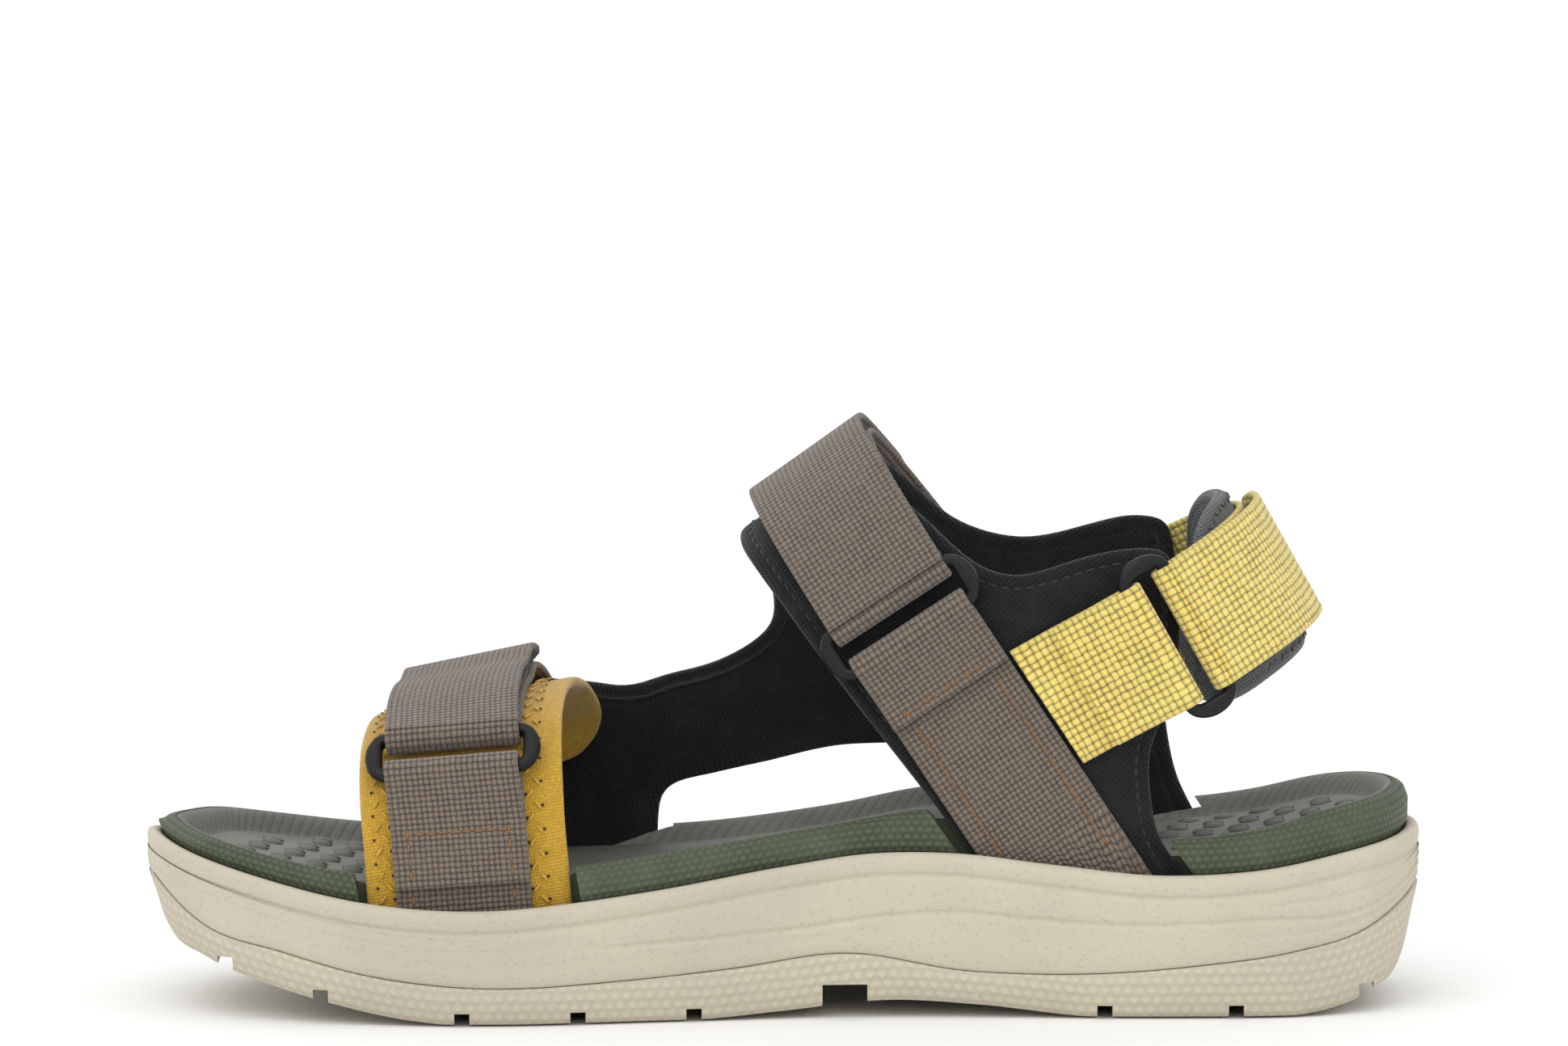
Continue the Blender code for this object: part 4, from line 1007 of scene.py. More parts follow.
def make_knit_group():
    """Columns of small V stitches on a UV map in metres."""
    tree, n, put, out = shader_group(
        "Knit", [("UV", VECTOR, None), ("Pitch", FLOAT, 0.0008)], [("Height", FLOAT), ("Gaps", FLOAT)],
    )
    parts = n.add("ShaderNodeSeparateXYZ", {0: put["UV"]}).outputs
    u = n.math("DIVIDE", parts[0], put["Pitch"])
    v = n.math("DIVIDE", parts[1], put["Pitch"])
    lean = n.math("ABSOLUTE", n.math("SUBTRACT", n.math("FRACT", u), 0.5))
    loops = n.math("ABSOLUTE", n.math("SINE", n.math("MULTIPLY", n.math("ADD", v, lean), math.pi)))
    columns = n.math("ABSOLUTE", n.math("SINE", n.math("MULTIPLY", u, math.pi)))
    height = n.math("MULTIPLY", loops, n.math("POWER", columns, 0.6))
    n.feed(out.inputs["Height"], height)
    n.feed(out.inputs["Gaps"], n.ramp(height, 0.5, 0.05))
    return tree


def make_wear_group():
    """Lighter rubbed patches and faint dust over a base colour."""
    tree, n, put, out = shader_group(
        "Wear",
        [
            ("Vector", VECTOR, None), ("Base", COLOUR, None), ("Dust", COLOUR, None),
            ("Amount", FLOAT, 0.1), ("Scale", FLOAT, 60.0)
        ],
        [("Colour", COLOUR), ("Mask", FLOAT)],
    )
    broad = n.ramp(n.noise(put["Vector"], put["Scale"], 4.0, 0.6), 0.42, 0.72)
    fleck = n.ramp(n.noise(put["Vector"], n.math("MULTIPLY", put["Scale"], 22.0), 2.0), 0.5, 0.75)
    mask = n.math(
        "MULTIPLY", n.math("MULTIPLY_ADD", broad, 0.7, n.math("MULTIPLY", fleck, 0.3)),
        put["Amount"], clamp=True
    )
    n.feed(out.inputs["Colour"], n.mix(mask, put["Base"], put["Dust"]))
    n.feed(out.inputs["Mask"], mask)
    return tree


def make_studs_group():
    """Small raised pebbles in a staggered lattice on a UV map in metres."""
    tree, n, put, out = shader_group(
        "Pebbles", [("UV", VECTOR, None), ("Pitch", FLOAT, 0.0022), ("Size", FLOAT, 0.42)],
        [("Height", FLOAT), ("Mask", FLOAT)],
    )
    parts = n.add("ShaderNodeSeparateXYZ", {0: put["UV"]}).outputs
    row = n.math("DIVIDE", parts[1], n.math("MULTIPLY", put["Pitch"], 0.87))
    shift = n.math("MULTIPLY", n.math("FLOORED_MODULO", n.math("FLOOR", row), 2.0), 0.5)
    u = n.math("ADD", n.math("DIVIDE", parts[0], put["Pitch"]), shift)
    fu = n.math("SUBTRACT", n.math("FRACT", u), 0.5)
    fv = n.math("SUBTRACT", n.math("FRACT", row), 0.5)
    away = n.math("SQRT", n.math("ADD", n.math("MULTIPLY", fu, fu), n.math("MULTIPLY", fv, fv)))
    n.feed(out.inputs["Height"], n.ramp(away, put["Size"], n.math("MULTIPLY", put["Size"], 0.35)))
    n.feed(out.inputs["Mask"], n.ramp(away, put["Size"], n.math("MULTIPLY", put["Size"], 0.8)))
    return tree


GROUPS = {}


def place(n, name, feeds):
    node = n.add("ShaderNodeGroup")
    node.node_tree = GROUPS[name]
    for key, value in feeds.items():
        n.feed(node.inputs[key], value)
    return node.outputs


class Finish:
    """A material with its Principled shader, its coordinates and one bump."""

    def __init__(self, name, roughness, sheen=0.0, specular=0.4, coat=0.0):
        self.material = bpy.data.materials.new(name)
        self.material.use_nodes = True
        self.n = Nodes(self.material.node_tree)
        self.shader = self.material.node_tree.nodes["Principled BSDF"]
        self.shader.inputs["Roughness"].default_value = roughness
        self.shader.inputs["Sheen Weight"].default_value = sheen
        self.shader.inputs["Sheen Roughness"].default_value = 0.5
        self.shader.inputs["Specular IOR Level"].default_value = specular
        self.shader.inputs["Coat Weight"].default_value = coat
        self.shader.inputs["Coat Roughness"].default_value = 0.25
        coords = self.n.add("ShaderNodeTexCoord").outputs
        self.object, self.uv = coords["Object"], coords["UV"]

    def finish(self, colour, height, depth, roughness=None):
        """depth is the bump's full height in millimetres."""
        bump = self.n.add("ShaderNodeBump", {"Height": height, "Strength": 1.0, "Distance": depth * MM})
        self.n.feed(self.shader.inputs["Normal"], bump.outputs[0])
        self.n.feed(self.shader.inputs["Base Color"], colour)
        if roughness is not None:
            self.n.feed(self.shader.inputs["Roughness"], roughness)
        return self.material


def rgba(colour):
    return (*tuple(colour)[:3], 1.0)


def shade(colour, by):
    return tuple(min(1.0, c * by) for c in tuple(colour)[:3]) + (1.0,)


def worn_over(n, f, base, dust, amount, scale):
    """The base colour with a little wear and dust over it."""
    return place(
        n, "Wear",
        {"Vector": f.object, "Base": base, "Dust": dust, "Amount": amount, "Scale": scale}
    )


def foam_material(name, colour, pebbles=0.0):
    f = Finish(name, 0.72, sheen=0.06, specular=0.3)
    n = f.n
    grain = place(n, "Moulded grain", {"Vector": f.object, "Scale": 1500.0})
    height = n.math("MULTIPLY", grain["Height"], 0.7 if not pebbles else 0.3)
    tone = n.mix(n.ramp(grain["Unevenness"], 0.35, 0.7), shade(colour, 0.94), shade(colour, 1.04))
    # Darker in the grain's pits: painted shade in the hollows.
    tone = n.mix(n.math("MULTIPLY", n.math("SUBTRACT", 1.0, grain["Pits"]), 0.3), tone, shade(colour, 0.8))
    if pebbles:
        studs = place(n, "Pebbles", {"UV": f.uv, "Pitch": pebbles * MM, "Size": 0.5})
        height = n.math("ADD", height, studs["Height"])
        # Darker between the raised pebbles: painted shade in the hollows between them.
        tone = n.mix(
            n.math("MULTIPLY", n.math("SUBTRACT", 1.0, studs["Mask"]), 0.5), tone,
            shade(colour, 0.72)
        )
    worn = worn_over(n, f, tone, (0.33, 0.29, 0.22, 1), 0.1, 45.0)
    rough = n.ramp(worn["Mask"], 0.0, 0.2, 0.66, 0.85)
    return f.finish(worn["Colour"], height, 0.28 if pebbles else 0.3, rough)


def footbed_side_material(name, colour):
    f = Finish(name, 0.6, specular=0.35)
    n = f.n
    grain = place(n, "Moulded grain", {"Vector": f.object, "Scale": 3000.0})
    studs = place(n, "Pebbles", {"UV": f.uv, "Pitch": 0.0019, "Size": 0.46})
    slow = n.ramp(grain["Unevenness"], 0.35, 0.7)
    tone = n.mix(slow, shade(colour, 0.82), shade(colour, 1.12))
    # Lighter on the raised pebbles: painted highlight on their tops.
    tone = n.mix(n.math("MULTIPLY", studs["Mask"], 0.6), tone, shade(colour, 1.6))
    worn = worn_over(n, f, tone, (0.26, 0.27, 0.2, 1), 0.15, 90.0)
    height = n.math("ADD", n.math("MULTIPLY", grain["Height"], 0.3), studs["Height"])
    return f.finish(worn["Colour"], height, 0.22, n.ramp(studs["Mask"], 0.0, 1.0, 0.7, 0.5))


# The footbed's top: the same dark green moulding as its side, coloured a lighter grey as painted reflection
# of the bright room.
def footbed_top_painted_reflection_material(name, colour):
    f = Finish(name, 0.68, specular=0.3)
    n = f.n
    grain = place(n, "Moulded grain", {"Vector": f.object, "Scale": 2100.0})
    turned = n.add("ShaderNodeMapping", {"Vector": f.uv, "Rotation": (0, 0, math.radians(38))}).outputs[0]
    hatch = n.add("ShaderNodeSeparateXYZ", {0: turned}).outputs[0]
    lines = n.math(
        "POWER", n.math("ABSOLUTE", n.math("SINE", n.math("MULTIPLY", hatch, math.pi / 0.0024))),
        0.5
    )
    tone = n.mix(n.ramp(grain["Unevenness"], 0.35, 0.7), shade(colour, 0.85), shade(colour, 1.12))
    # Darker in the hatch's troughs, where its bump is low: painted shade in the grooves.
    tone = n.mix(n.math("MULTIPLY", n.math("SUBTRACT", 1.0, lines), 0.35), tone, shade(colour, 0.6))
    worn = worn_over(n, f, tone, (0.3, 0.3, 0.25, 1), 0.14, 70.0)
    height = n.math("ADD", n.math("MULTIPLY", grain["Height"], 0.45), n.math("MULTIPLY", lines, 0.7))
    return f.finish(worn["Colour"], height, 0.25, n.ramp(grain["Pits"], 0.0, 1.0, 0.8, 0.6))


def webbing_material(name, colour, along, across, repeat, depth=0.32, lift=1.35):
    f = Finish(name, 0.82, sheen=0.35, specular=0.25)
    n = f.n
    weave = place(n, "Weave", {"UV": f.uv, "Along": along * MM, "Across": across * MM, "Repeat": repeat})
    fibre = n.noise(f.uv, 5200.0, 2.0)
    tone = n.mix(weave["Thread"], shade(colour, 0.72), shade(colour, 1.2))
    # Thread crowns lightened by lift: painted highlight on the weave.
    tone = n.mix(n.ramp(weave["Height"], 0.5, 1.0), tone, shade(colour, lift))
    # Much darker in the gaps between threads: painted shade.
    tone = n.mix(n.math("MULTIPLY", weave["Gaps"], 0.9), tone, shade(colour, 0.16))
    tone = n.mix(n.math("MULTIPLY", n.ramp(fibre, 0.4, 0.7), 0.25), tone, shade(colour, 1.3))
    # Darker towards the band's rounded edges: painted shade where they turn away.
    side = n.math("ABSOLUTE", n.add("ShaderNodeSeparateXYZ", {0: f.uv}).outputs[1])
    rim = n.ramp(side, 0.0132, 0.0150)
    tone = n.mix(n.math("MULTIPLY", rim, 0.35), tone, shade(colour, 0.7))
    worn = worn_over(n, f, tone, shade(colour, 1.9), 0.16, 120.0)
    height = n.math("ADD", weave["Height"], n.math("MULTIPLY", fibre, 0.25))
    return f.finish(worn["Colour"], height, depth, n.ramp(weave["Height"], 0.2, 1.0, 0.95, 0.74))


def seam_channel(n, at, width):
    """1 along a line that keeps one distance from a panel's border."""
    margin = n.add("ShaderNodeAttribute", attribute_name="margin").outputs["Fac"]
    away = n.math("DIVIDE", n.math("SUBTRACT", margin, at * MM), width * MM)
    return n.math("EXPONENT", n.math("MULTIPLY", n.math("MULTIPLY", away, away), -1.0))


def twill_material(name, colour):
    """Fine twill over padding."""
    f = Finish(name, 0.8, sheen=0.4, specular=0.25)
    n = f.n
    weave = place(n, "Weave", {"UV": f.uv, "Along": 0.0007, "Across": 0.0007, "Repeat": 3.0})
    tone = n.mix(weave["Thread"], shade(colour, 0.88), shade(colour, 1.1))
    # Darker in the gaps between threads: painted shade.
    tone = n.mix(n.math("MULTIPLY", weave["Gaps"], 0.6), tone, shade(colour, 0.5))
    worn = worn_over(n, f, tone, shade(colour, 0.6), 0.25, 80.0)
    slow = n.noise(f.object, 160.0, 2.0)
    height = n.math("ADD", n.math("MULTIPLY", weave["Height"], 0.4), n.math("MULTIPLY", slow, 1.2))
    return f.finish(worn["Colour"], height, 0.3, n.ramp(weave["Height"], 0.2, 1.0, 0.92, 0.76))


def knit_material(name, colour, pitch=0.9, channels=(3.4,), depth=0.24, lint=0.1):
    """Knit face over thin foam, pressed in along its stitch lines."""
    f = Finish(name, 0.86, sheen=0.25, specular=0.2)
    n = f.n
    knit = place(n, "Knit", {"UV": f.uv, "Pitch": pitch * MM})
    # Lighter on the knit's loop crowns and darker in its hollows: painted highlight and painted shade.
    tone = n.mix(n.ramp(knit["Height"], 0.2, 1.0), shade(colour, 0.6), shade(colour, 1.7))
    worn = worn_over(n, f, tone, (0.11, 0.11, 0.11, 1), lint, 130.0)
    slow = n.noise(f.object, 190.0, 2.0)
    height = n.math("ADD", n.math("MULTIPLY", knit["Height"], 0.7), n.math("MULTIPLY", slow, 1.4))
    for at in channels:
        height = n.math("SUBTRACT", height, n.math("MULTIPLY", seam_channel(n, at, 0.8), 2.2))
    return f.finish(worn["Colour"], height, depth, n.ramp(knit["Height"], 0.0, 1.0, 0.95, 0.8))


def tape_material(name, colour, scale, depth, roughness):
    f = Finish(name, roughness, sheen=0.3)
    n = f.n
    fuzz = n.noise(f.object, scale, 4.0, 0.7)
    tufts = n.cells(f.object, scale * 0.35)
    tone = n.mix(n.ramp(fuzz, 0.35, 0.7), shade(colour, 0.55), shade(colour, 1.6))
    height = n.math("ADD", fuzz, n.math("MULTIPLY", n.ramp(tufts, 0.0, 0.5), 0.6))
    return f.finish(tone, height, depth)


def ring_material(name, colour):
    f = Finish(name, 0.42, specular=0.3)
    n = f.n
    grain = place(n, "Moulded grain", {"Vector": f.object, "Scale": 3600.0})
    worn = worn_over(n, f, rgba(colour), (0.03, 0.03, 0.031, 1), 0.3, 210.0)
    rough = n.ramp(worn["Mask"], 0.0, 0.3, 0.36, 0.55)
    return f.finish(worn["Colour"], grain["Height"], 0.05, rough)


def thread_material(name, colour):
    f = Finish(name, 0.6, sheen=0.3)
    n = f.n
    twist = n.noise(f.object, 4200.0, 2.0)
    tone = n.mix(n.ramp(twist, 0.35, 0.65), shade(colour, 0.7), shade(colour, 1.2))
    return f.finish(tone, twist, 0.1)


def floor_material(name, colour):
    f = Finish(name, 0.9, specular=0.1)
    n = f.n
    tone = n.mix(n.noise(f.object, 3.0, 2.0), shade(colour, 0.995), rgba(colour))
    return f.finish(tone, n.noise(f.object, 400.0, 2.0), 0.02)


# ---------------------------------------------------------------- patterns of the upper's pieces

def forefoot_pad_pattern():
    path = FORE_PATH
    half = FOREFOOT_PAD_WIDTH / 2 / math.cos(path.turn)

    def edge(girth, side):
        return path.start + FOREFOOT_PAD_BACK + path.slope * girth + side * half

    foot = {}
    for side in (-1, 1):
        girth = -75.0
        for _ in range(6):
            girth = foot_girth(FORE, edge(girth, side), -1, PANEL / 2)
        foot[side] = (edge(girth, side), girth)
    soles = [(a, foot_girth(FORE, a, -1, PANEL / 2)) for a in np.linspace(foot[1][0], foot[-1][0], 6)]
    tip, round_off = 54.0, 14.0
    corners = []
    for side, angles in ((-1, np.linspace(180, 90, 6)), (1, np.linspace(90, 0, 6))):
        for a in np.radians(angles):
            girth = tip - round_off + round_off * math.sin(a)
            corners.append((edge(girth, side) - side * round_off + round_off * math.cos(a), girth))
    slot = (foot[-1][0], edge(foot[1][1] + 20, 1))
    return soles + corners, slot


def heel_pad_pattern():
    low, high = HEEL_PATH.start - HEEL_PAD_WIDTH / 2, HEEL_PATH.start + HEEL_PAD_WIDTH / 2
    pattern = []
    for side in (-1, 1):
        deep, shallow = HEELS.girth_of(
            HEEL_REACH - PAD_END[0], side
        ), HEELS.girth_of(HEEL_REACH - PAD_END[1], side)
        end = curve([
            (low, deep + side * -9), (low + 2.5, deep + side * -2), (low + 9, deep),
            (high - 11, shallow + side * 2), (high - 3, shallow - side * 4), (high, shallow - side * 13),
        ], 12)
        pattern += end if side < 0 else end[::-1]
    return pattern


QUARTER_FRONT, QUARTER_REAR = 54.8, 89.5
VAMP_FRONT, VAMP_REAR, FAR_FRONT, FAR_REAR = -83.5, -25.5, 55.5, 95.5


def medial_quarter_pattern():
    def side(x, z):
        return ANKLE.locate(x, z, -1)

    foot = [(a, foot_girth(ANKLE, a, -1, PANEL / 2)) for a in np.linspace(QUARTER_REAR, QUARTER_FRONT, 7)]
    forward = [(51.4, -16.0), (50.9, -8.0), (52.0, 0.0), (55.0, 10.0), (59.0, 22.0)]
    back = [(86.0, 22.0), (88.0, 8.0), (88.4, 0.0), (87.4, -12.0)]
    top = [side(*p) for p in (
        (25.9, 113.8), (32.2, 109.4), (37.1, 104.8), (44.3, 99.7), (51.0, 97.9), (59.7, 100.1),
        (67.5, 102.8), (77.1, 104.3),
    )]
    arm = [side(*p) for p in ((84.6, 103.6), (86.8, 96.0), (87.6, 82.0), (86.6, 71.0), (85.0, 66.8))]
    behind = [side(*p) for p in ((82.6, 62.8), (81.2, 56.4), (82.0, 47.5), (83.0, 41.0))]
    return foot + forward + back + curve(top, 14) + curve(arm, 8) + behind


def lateral_upper_pattern():
    middle = OVERLAY + PANEL / 2

    def fore(along, girth):
        return ((along - LATERAL.fore_end) / LATERAL.stride, girth)

    def ankle(along, girth):
        return (1 + (along - LATERAL.rear_start) / LATERAL.stride, girth)

    def far(x, z):
        return LATERAL.locate(x, z, 1)

    vamp_foot = [fore(a, foot_girth(FORE, a, 1, middle)) for a in np.linspace(VAMP_REAR, VAMP_FRONT, 9)]
    vamp_top = [
        fore(-80.0, 44.0), fore(-76.0, 29.0), fore(-71.0, 23.0), fore(-58.0, 22.0),
        fore(-46.0, 23.5)
    ]
    band_top = [far(*p) for p in ((-35.0, 61.2), (-21.7, 66.2), (-9.0, 71.8), (-1.5, 79.5))]
    crest = [ankle(50.5, 27.0), ankle(54.0, 18.5), ankle(70.0, 17.5), ankle(87.0, 18.5)]
    collar = [far(*p) for p in (
        (32.2, 109.4), (39.0, 103.5), (48.9, 99.8), (57.9, 99.4), (67.5, 102.0), (77.1, 104.3),
    )]
    arm = [far(*p) for p in ((84.6, 103.6), (86.8, 96.0), (87.6, 82.0), (87.2, 70.0))]
    behind = [far(*p) for p in ((86.6, 60.0), (88.0, 51.0), (89.5, 44.5))]
    quarter_foot = [ankle(a, foot_girth(ANKLE, a, 1, middle)) for a in np.linspace(FAR_REAR, FAR_FRONT, 7)]
    band_low = [
        far(*p) for p in (
            (40.0, 46.0), (36.0, 51.0), (23.5, 51.6), (-1.8, 47.6), (-22.0, 43.6), (-28.5, 39.5)
        )
    ]
    return (
        vamp_foot + curve(vamp_top, 12) + curve(band_top, 8) + crest + curve(collar, 12) + curve(arm, 7)
        + behind + quarter_foot + curve(band_low, 16)
    )


PAD_END = (25.0, 10.5)


def heel_end(side, height):
    """Where the heel webbing butts against the instep webbing, and the girth of the next station."""
    ends, girths = [], []
    for t in (-WEBBING_WIDTH / 2, WEBBING_WIDTH / 2):
        across = HEELS.across * (HEEL_PATH.start + t)
        girth = -85.0
        for _ in range(6):
            reach = INSTEP_PATH.start + INSTEP_PATH.slope * abs(girth) * side + WEBBING_WIDTH / 2 + 1.0
            back = (reach - ANKLE.across @ across) / (ANKLE.across @ HEELS.rise)
            girth = ANKLE.girth_of(float(ANKLE.rise @ (across + HEELS.rise * back)), side)
        girths.append(HEELS.girth_of(back, side))
        ends.append(off(HEELS, HEEL_PATH.start + t, girths[-1], height))
    return tuple(ends), (max if side < 0 else min)(girths) - side * 2.5


class Strap:
    """One strap's path, ends and heights over its form."""

    def __init__(self, name, path, double, tab_end, loop_end, rise, base, over, keeper_end, strap_end):
        self.name, self.path, self.double, self.tab_end, self.loop_end = name, path, double, tab_end, loop_end
        self.rise, self.base, self.over = rise, base, over
        self.keeper_end, self.strap_end = keeper_end, strap_end

    def keeper(self):
        below = self.path.ring_girth - BAR_SPREAD
        end, first = self.keeper_end
        stations = [end] + [
            self.path.edges(g, self.base(g), WEBBING_WIDTH) for g in steps(first, below - 3.0, 1.8)
        ]
        stations += self.path.arc(self.path.low_bar, np.linspace(-90, 120, 24), TURN)
        outer = WEBBING + GAP
        marks = steps(below - 9.0, self.path.ring_girth - self.double, 1.8)
        return stations + [self.path.edges(g, self.base(g) + outer, WEBBING_WIDTH) for g in marks]

    def strap(self):
        above = self.path.ring_girth + BAR_SPREAD
        end, first = self.strap_end
        stations = [end] + [
            self.path.edges(g, BASE + self.over(g), WEBBING_WIDTH) for g in steps(first, above + 4.0, 1.8)
        ]
        stations.append(self.path.near(self.path.high_bar + self.path.d * (GAP + 0.2) - self.path.n * TURN))
        return stations + self.path.arc(self.path.high_bar, np.linspace(-90, -270, 20), TURN)

    def tab_height(self, g):
        return TAB + (self.rise if self.rise else self.over(g))

    def tab(self):
        above = self.path.ring_girth + BAR_SPREAD
        lip_of = self.path.high_bar + self.path.n * TURN
        stations = [self.path.near(lip_of), self.path.near(lip_of + self.path.d * 0.5)]
        marks = [(g, self.tab_height(g)) for g in steps(above + 6.0, self.tab_end, 1.8)]
        pairs = rounded(self.path, marks, WEBBING_WIDTH, CORNER)
        return stations + pairs

    def patch(self, start, end, height):
        marks = [(g, height + (self.rise if self.rise else self.over(g))) for g in steps(start, end, 2.0)]
        return rounded(self.path, marks, PATCH_WIDTH, 4.0, at_start=True)


def heel_keeper_height(girth):
    low, high = HEELS.girth_of(HEEL_REACH - 46, -1), HEELS.girth_of(HEEL_REACH - 34, -1)
    return BASE + HEEL_RISE * eased(girth, low, high)


def heel_over(girth):
    return HEEL_RISE + (LIFT - HEEL_RISE) * eased(girth, 20.0, 29.0)


STRAPS = {
    "forefoot": Strap(
        "forefoot", FORE_PATH, 26.0, 34.0, 29.0, 0.0, lambda g: BASE, lambda g: LIFT * eased(g, 4.0, 19.0),
        FORE_PATH.tail(-1, BASE), FORE_PATH.tail(1, BASE + LIFT),
    ),
    "instep": Strap(
        "instep", INSTEP_PATH, 19.5, 36.0, 31.0, 0.0, lambda g: BASE, lambda g: LIFT * eased(g, 2.0, 15.0),
        INSTEP_PATH.tail(-1, BASE), INSTEP_PATH.tail(1, BASE + LIFT),
    ),
    "heel": Strap(
        "heel", HEEL_PATH, 21.0, 18.0, 14.0, HEEL_RISE, heel_keeper_height, heel_over,
        heel_end(-1, BASE), heel_end(1, BASE + LIFT),
    ),
}


# ---------------------------------------------------------------- stitches and nodules

def scatter_tree():
    """A small rounded body at each point, lying along its aim and square to its face."""
    tree = bpy.data.node_groups.new("Scattered bodies", "GeometryNodeTree")
    for label, kind in (
        ("Points", "NodeSocketGeometry"), ("Length", FLOAT), ("Width", FLOAT), ("Height", FLOAT),
        ("Unevenness", FLOAT), ("Finish", "NodeSocketMaterial"),
    ):
        tree.interface.new_socket(name=label, in_out="INPUT", socket_type=kind)
    tree.interface.new_socket(name="Bodies", in_out="OUTPUT", socket_type="NodeSocketGeometry")
    n = Nodes(tree)
    put = n.add("NodeGroupInput").outputs
    aim = n.add("GeometryNodeInputNamedAttribute", {"Name": "aim"}, data_type="FLOAT_VECTOR").outputs[0]
    face = n.add("GeometryNodeInputNamedAttribute", {"Name": "face"}, data_type="FLOAT_VECTOR").outputs[0]
    body = n.add("GeometryNodeMeshUVSphere", {"Segments": 7, "Rings": 5, "Radius": 0.5}).outputs[0]
    along = n.add("FunctionNodeAlignRotationToVector", {"Vector": aim}, axis="X").outputs[0]
    square = n.add(
        "FunctionNodeAlignRotationToVector", {"Rotation": along, "Vector": face}, axis="Z",
        pivot_axis="X"
    ).outputs[0]
    random = n.add("FunctionNodeRandomValue", data_type="FLOAT")
    random.inputs[2].default_value, random.inputs[3].default_value = -1.0, 1.0
    random.inputs["Seed"].default_value = 7
    vary = n.math("MULTIPLY_ADD", random.outputs[1], put["Unevenness"], 1.0)
    size = n.add("ShaderNodeCombineXYZ", {
        0: n.math("MULTIPLY", put["Length"], vary), 1: n.math("MULTIPLY", put["Width"], vary),
        2: put["Height"],
    }).outputs[0]
    placed = n.add(
        "GeometryNodeInstanceOnPoints",
        {"Points": put["Points"], "Instance": body, "Rotation": square, "Scale": size}
    )
    real = n.add("GeometryNodeRealizeInstances", {0: placed.outputs[0]}).outputs[0]
    round_ = n.add("GeometryNodeSetShadeSmooth", {0: real}).outputs[0]
    done = n.add("GeometryNodeSetMaterial", {"Geometry": round_, "Material": put["Finish"]}).outputs[0]
    n.feed(n.add("NodeGroupOutput").inputs[0], done)
    return tree


def scatter(name, spots, length, width, height, finish, unevenness=0.08):
    """spots are (point, aim, face) in mm."""
    if not spots:
        raise RuntimeError(f"{name}: no place was found for it")
    mesh = bpy.data.meshes.new(name)
    mesh.from_pydata([tuple(np.array(p) * MM) for p, _, _ in spots], [], [])
    for label, k in (("aim", 1), ("face", 2)):
        attribute = mesh.attributes.new(label, "FLOAT_VECTOR", "POINT")
        attribute.data.foreach_set(
            "vector", np.array([unit(np.array(s[k])) for s in spots], np.float32).ravel()
        )
    obj = bpy.data.objects.new(name, mesh)
    bpy.context.scene.collection.objects.link(obj)
    tree = bpy.data.node_groups.get("Scattered bodies") or scatter_tree()
    live = obj.modifiers.new("Bodies", "NODES")
    live.node_group = tree
    values = {
        "Length": length * MM, "Width": width * MM, "Height": height * MM, "Unevenness": unevenness,
        "Finish": finish
    }
    for item in tree.interface.items_tree:
        if item.in_out == "INPUT" and item.name in values:
            live[item.identifier] = values[item.name]
    return settle(obj)


def above_sole(p):
    return p[2] > float(lip(p[0], p[1])) + 0.6


def along_strap(path, girths, height, t, swing=0.0):
    """Spots of stitches that run with a strap. height is a number or a function of girth."""
    spots = []
    for k, g in enumerate(girths):
        h = height(g) if callable(height) else height
        lean = swing * (1 if k % 2 else -1)
        p = path.edge(g, h, t)
        aim = path.edge(g + 0.5, h, t + lean) - path.edge(g - 0.5, h, t - lean)
        face = path.edge(g, h + 1, t) - p
        if above_sole(p):
            spots.append((p, aim, face))
    return spots


def across_strap(path, girth, height, low, high, pitch):
    spots = []
    for t in np.arange(low, high + 0.01, pitch):
        p = path.edge(girth, height, t)
        spots.append(
            (
                p, path.edge(girth, height, t + 0.5) - path.edge(girth, height, t - 0.5),
                path.edge(girth, height + 1, t) - p
            )
        )
    return spots


def along_border(form, loop, along_scale, height, distance, pitch, swing=0.0):
    spots = []
    for run in inner_line(loop, distance, pitch):
        for k in range(1, len(run) - 1):
            (a0, g0), (a, g), (a1, g1) = run[k - 1], run[k], run[k + 1]
            flat = np.array([a1 - a0, g1 - g0])
            lean = np.array([-flat[1], flat[0]]) * swing * (1 if k % 2 else -1)
            ahead = np.array([a, g]) + (flat + lean) * 0.2
            behind = np.array([a, g]) - (flat + lean) * 0.2
            p = off(form, a / along_scale, g, height)
            aim = off(form, ahead[0] / along_scale, ahead[1], height) - off(
                form, behind[0] / along_scale, behind[1], height
            )
            face = off(form, a / along_scale, g, height + 1) - p
            if above_sole(p) and np.linalg.norm(aim) > 1e-6:
                spots.append((p, aim, face))
    return spots


# ---------------------------------------------------------------- settings

def colour_setting(name, description, default):
    return FloatVectorProperty(
        name=name, description=description, default=default, subtype="COLOR", size=3, min=0.0,
        max=1.0
    )


def length_setting(name, description, default):
    return FloatProperty(
        name=name, description=description, default=default, subtype="DISTANCE", unit="LENGTH"
    )


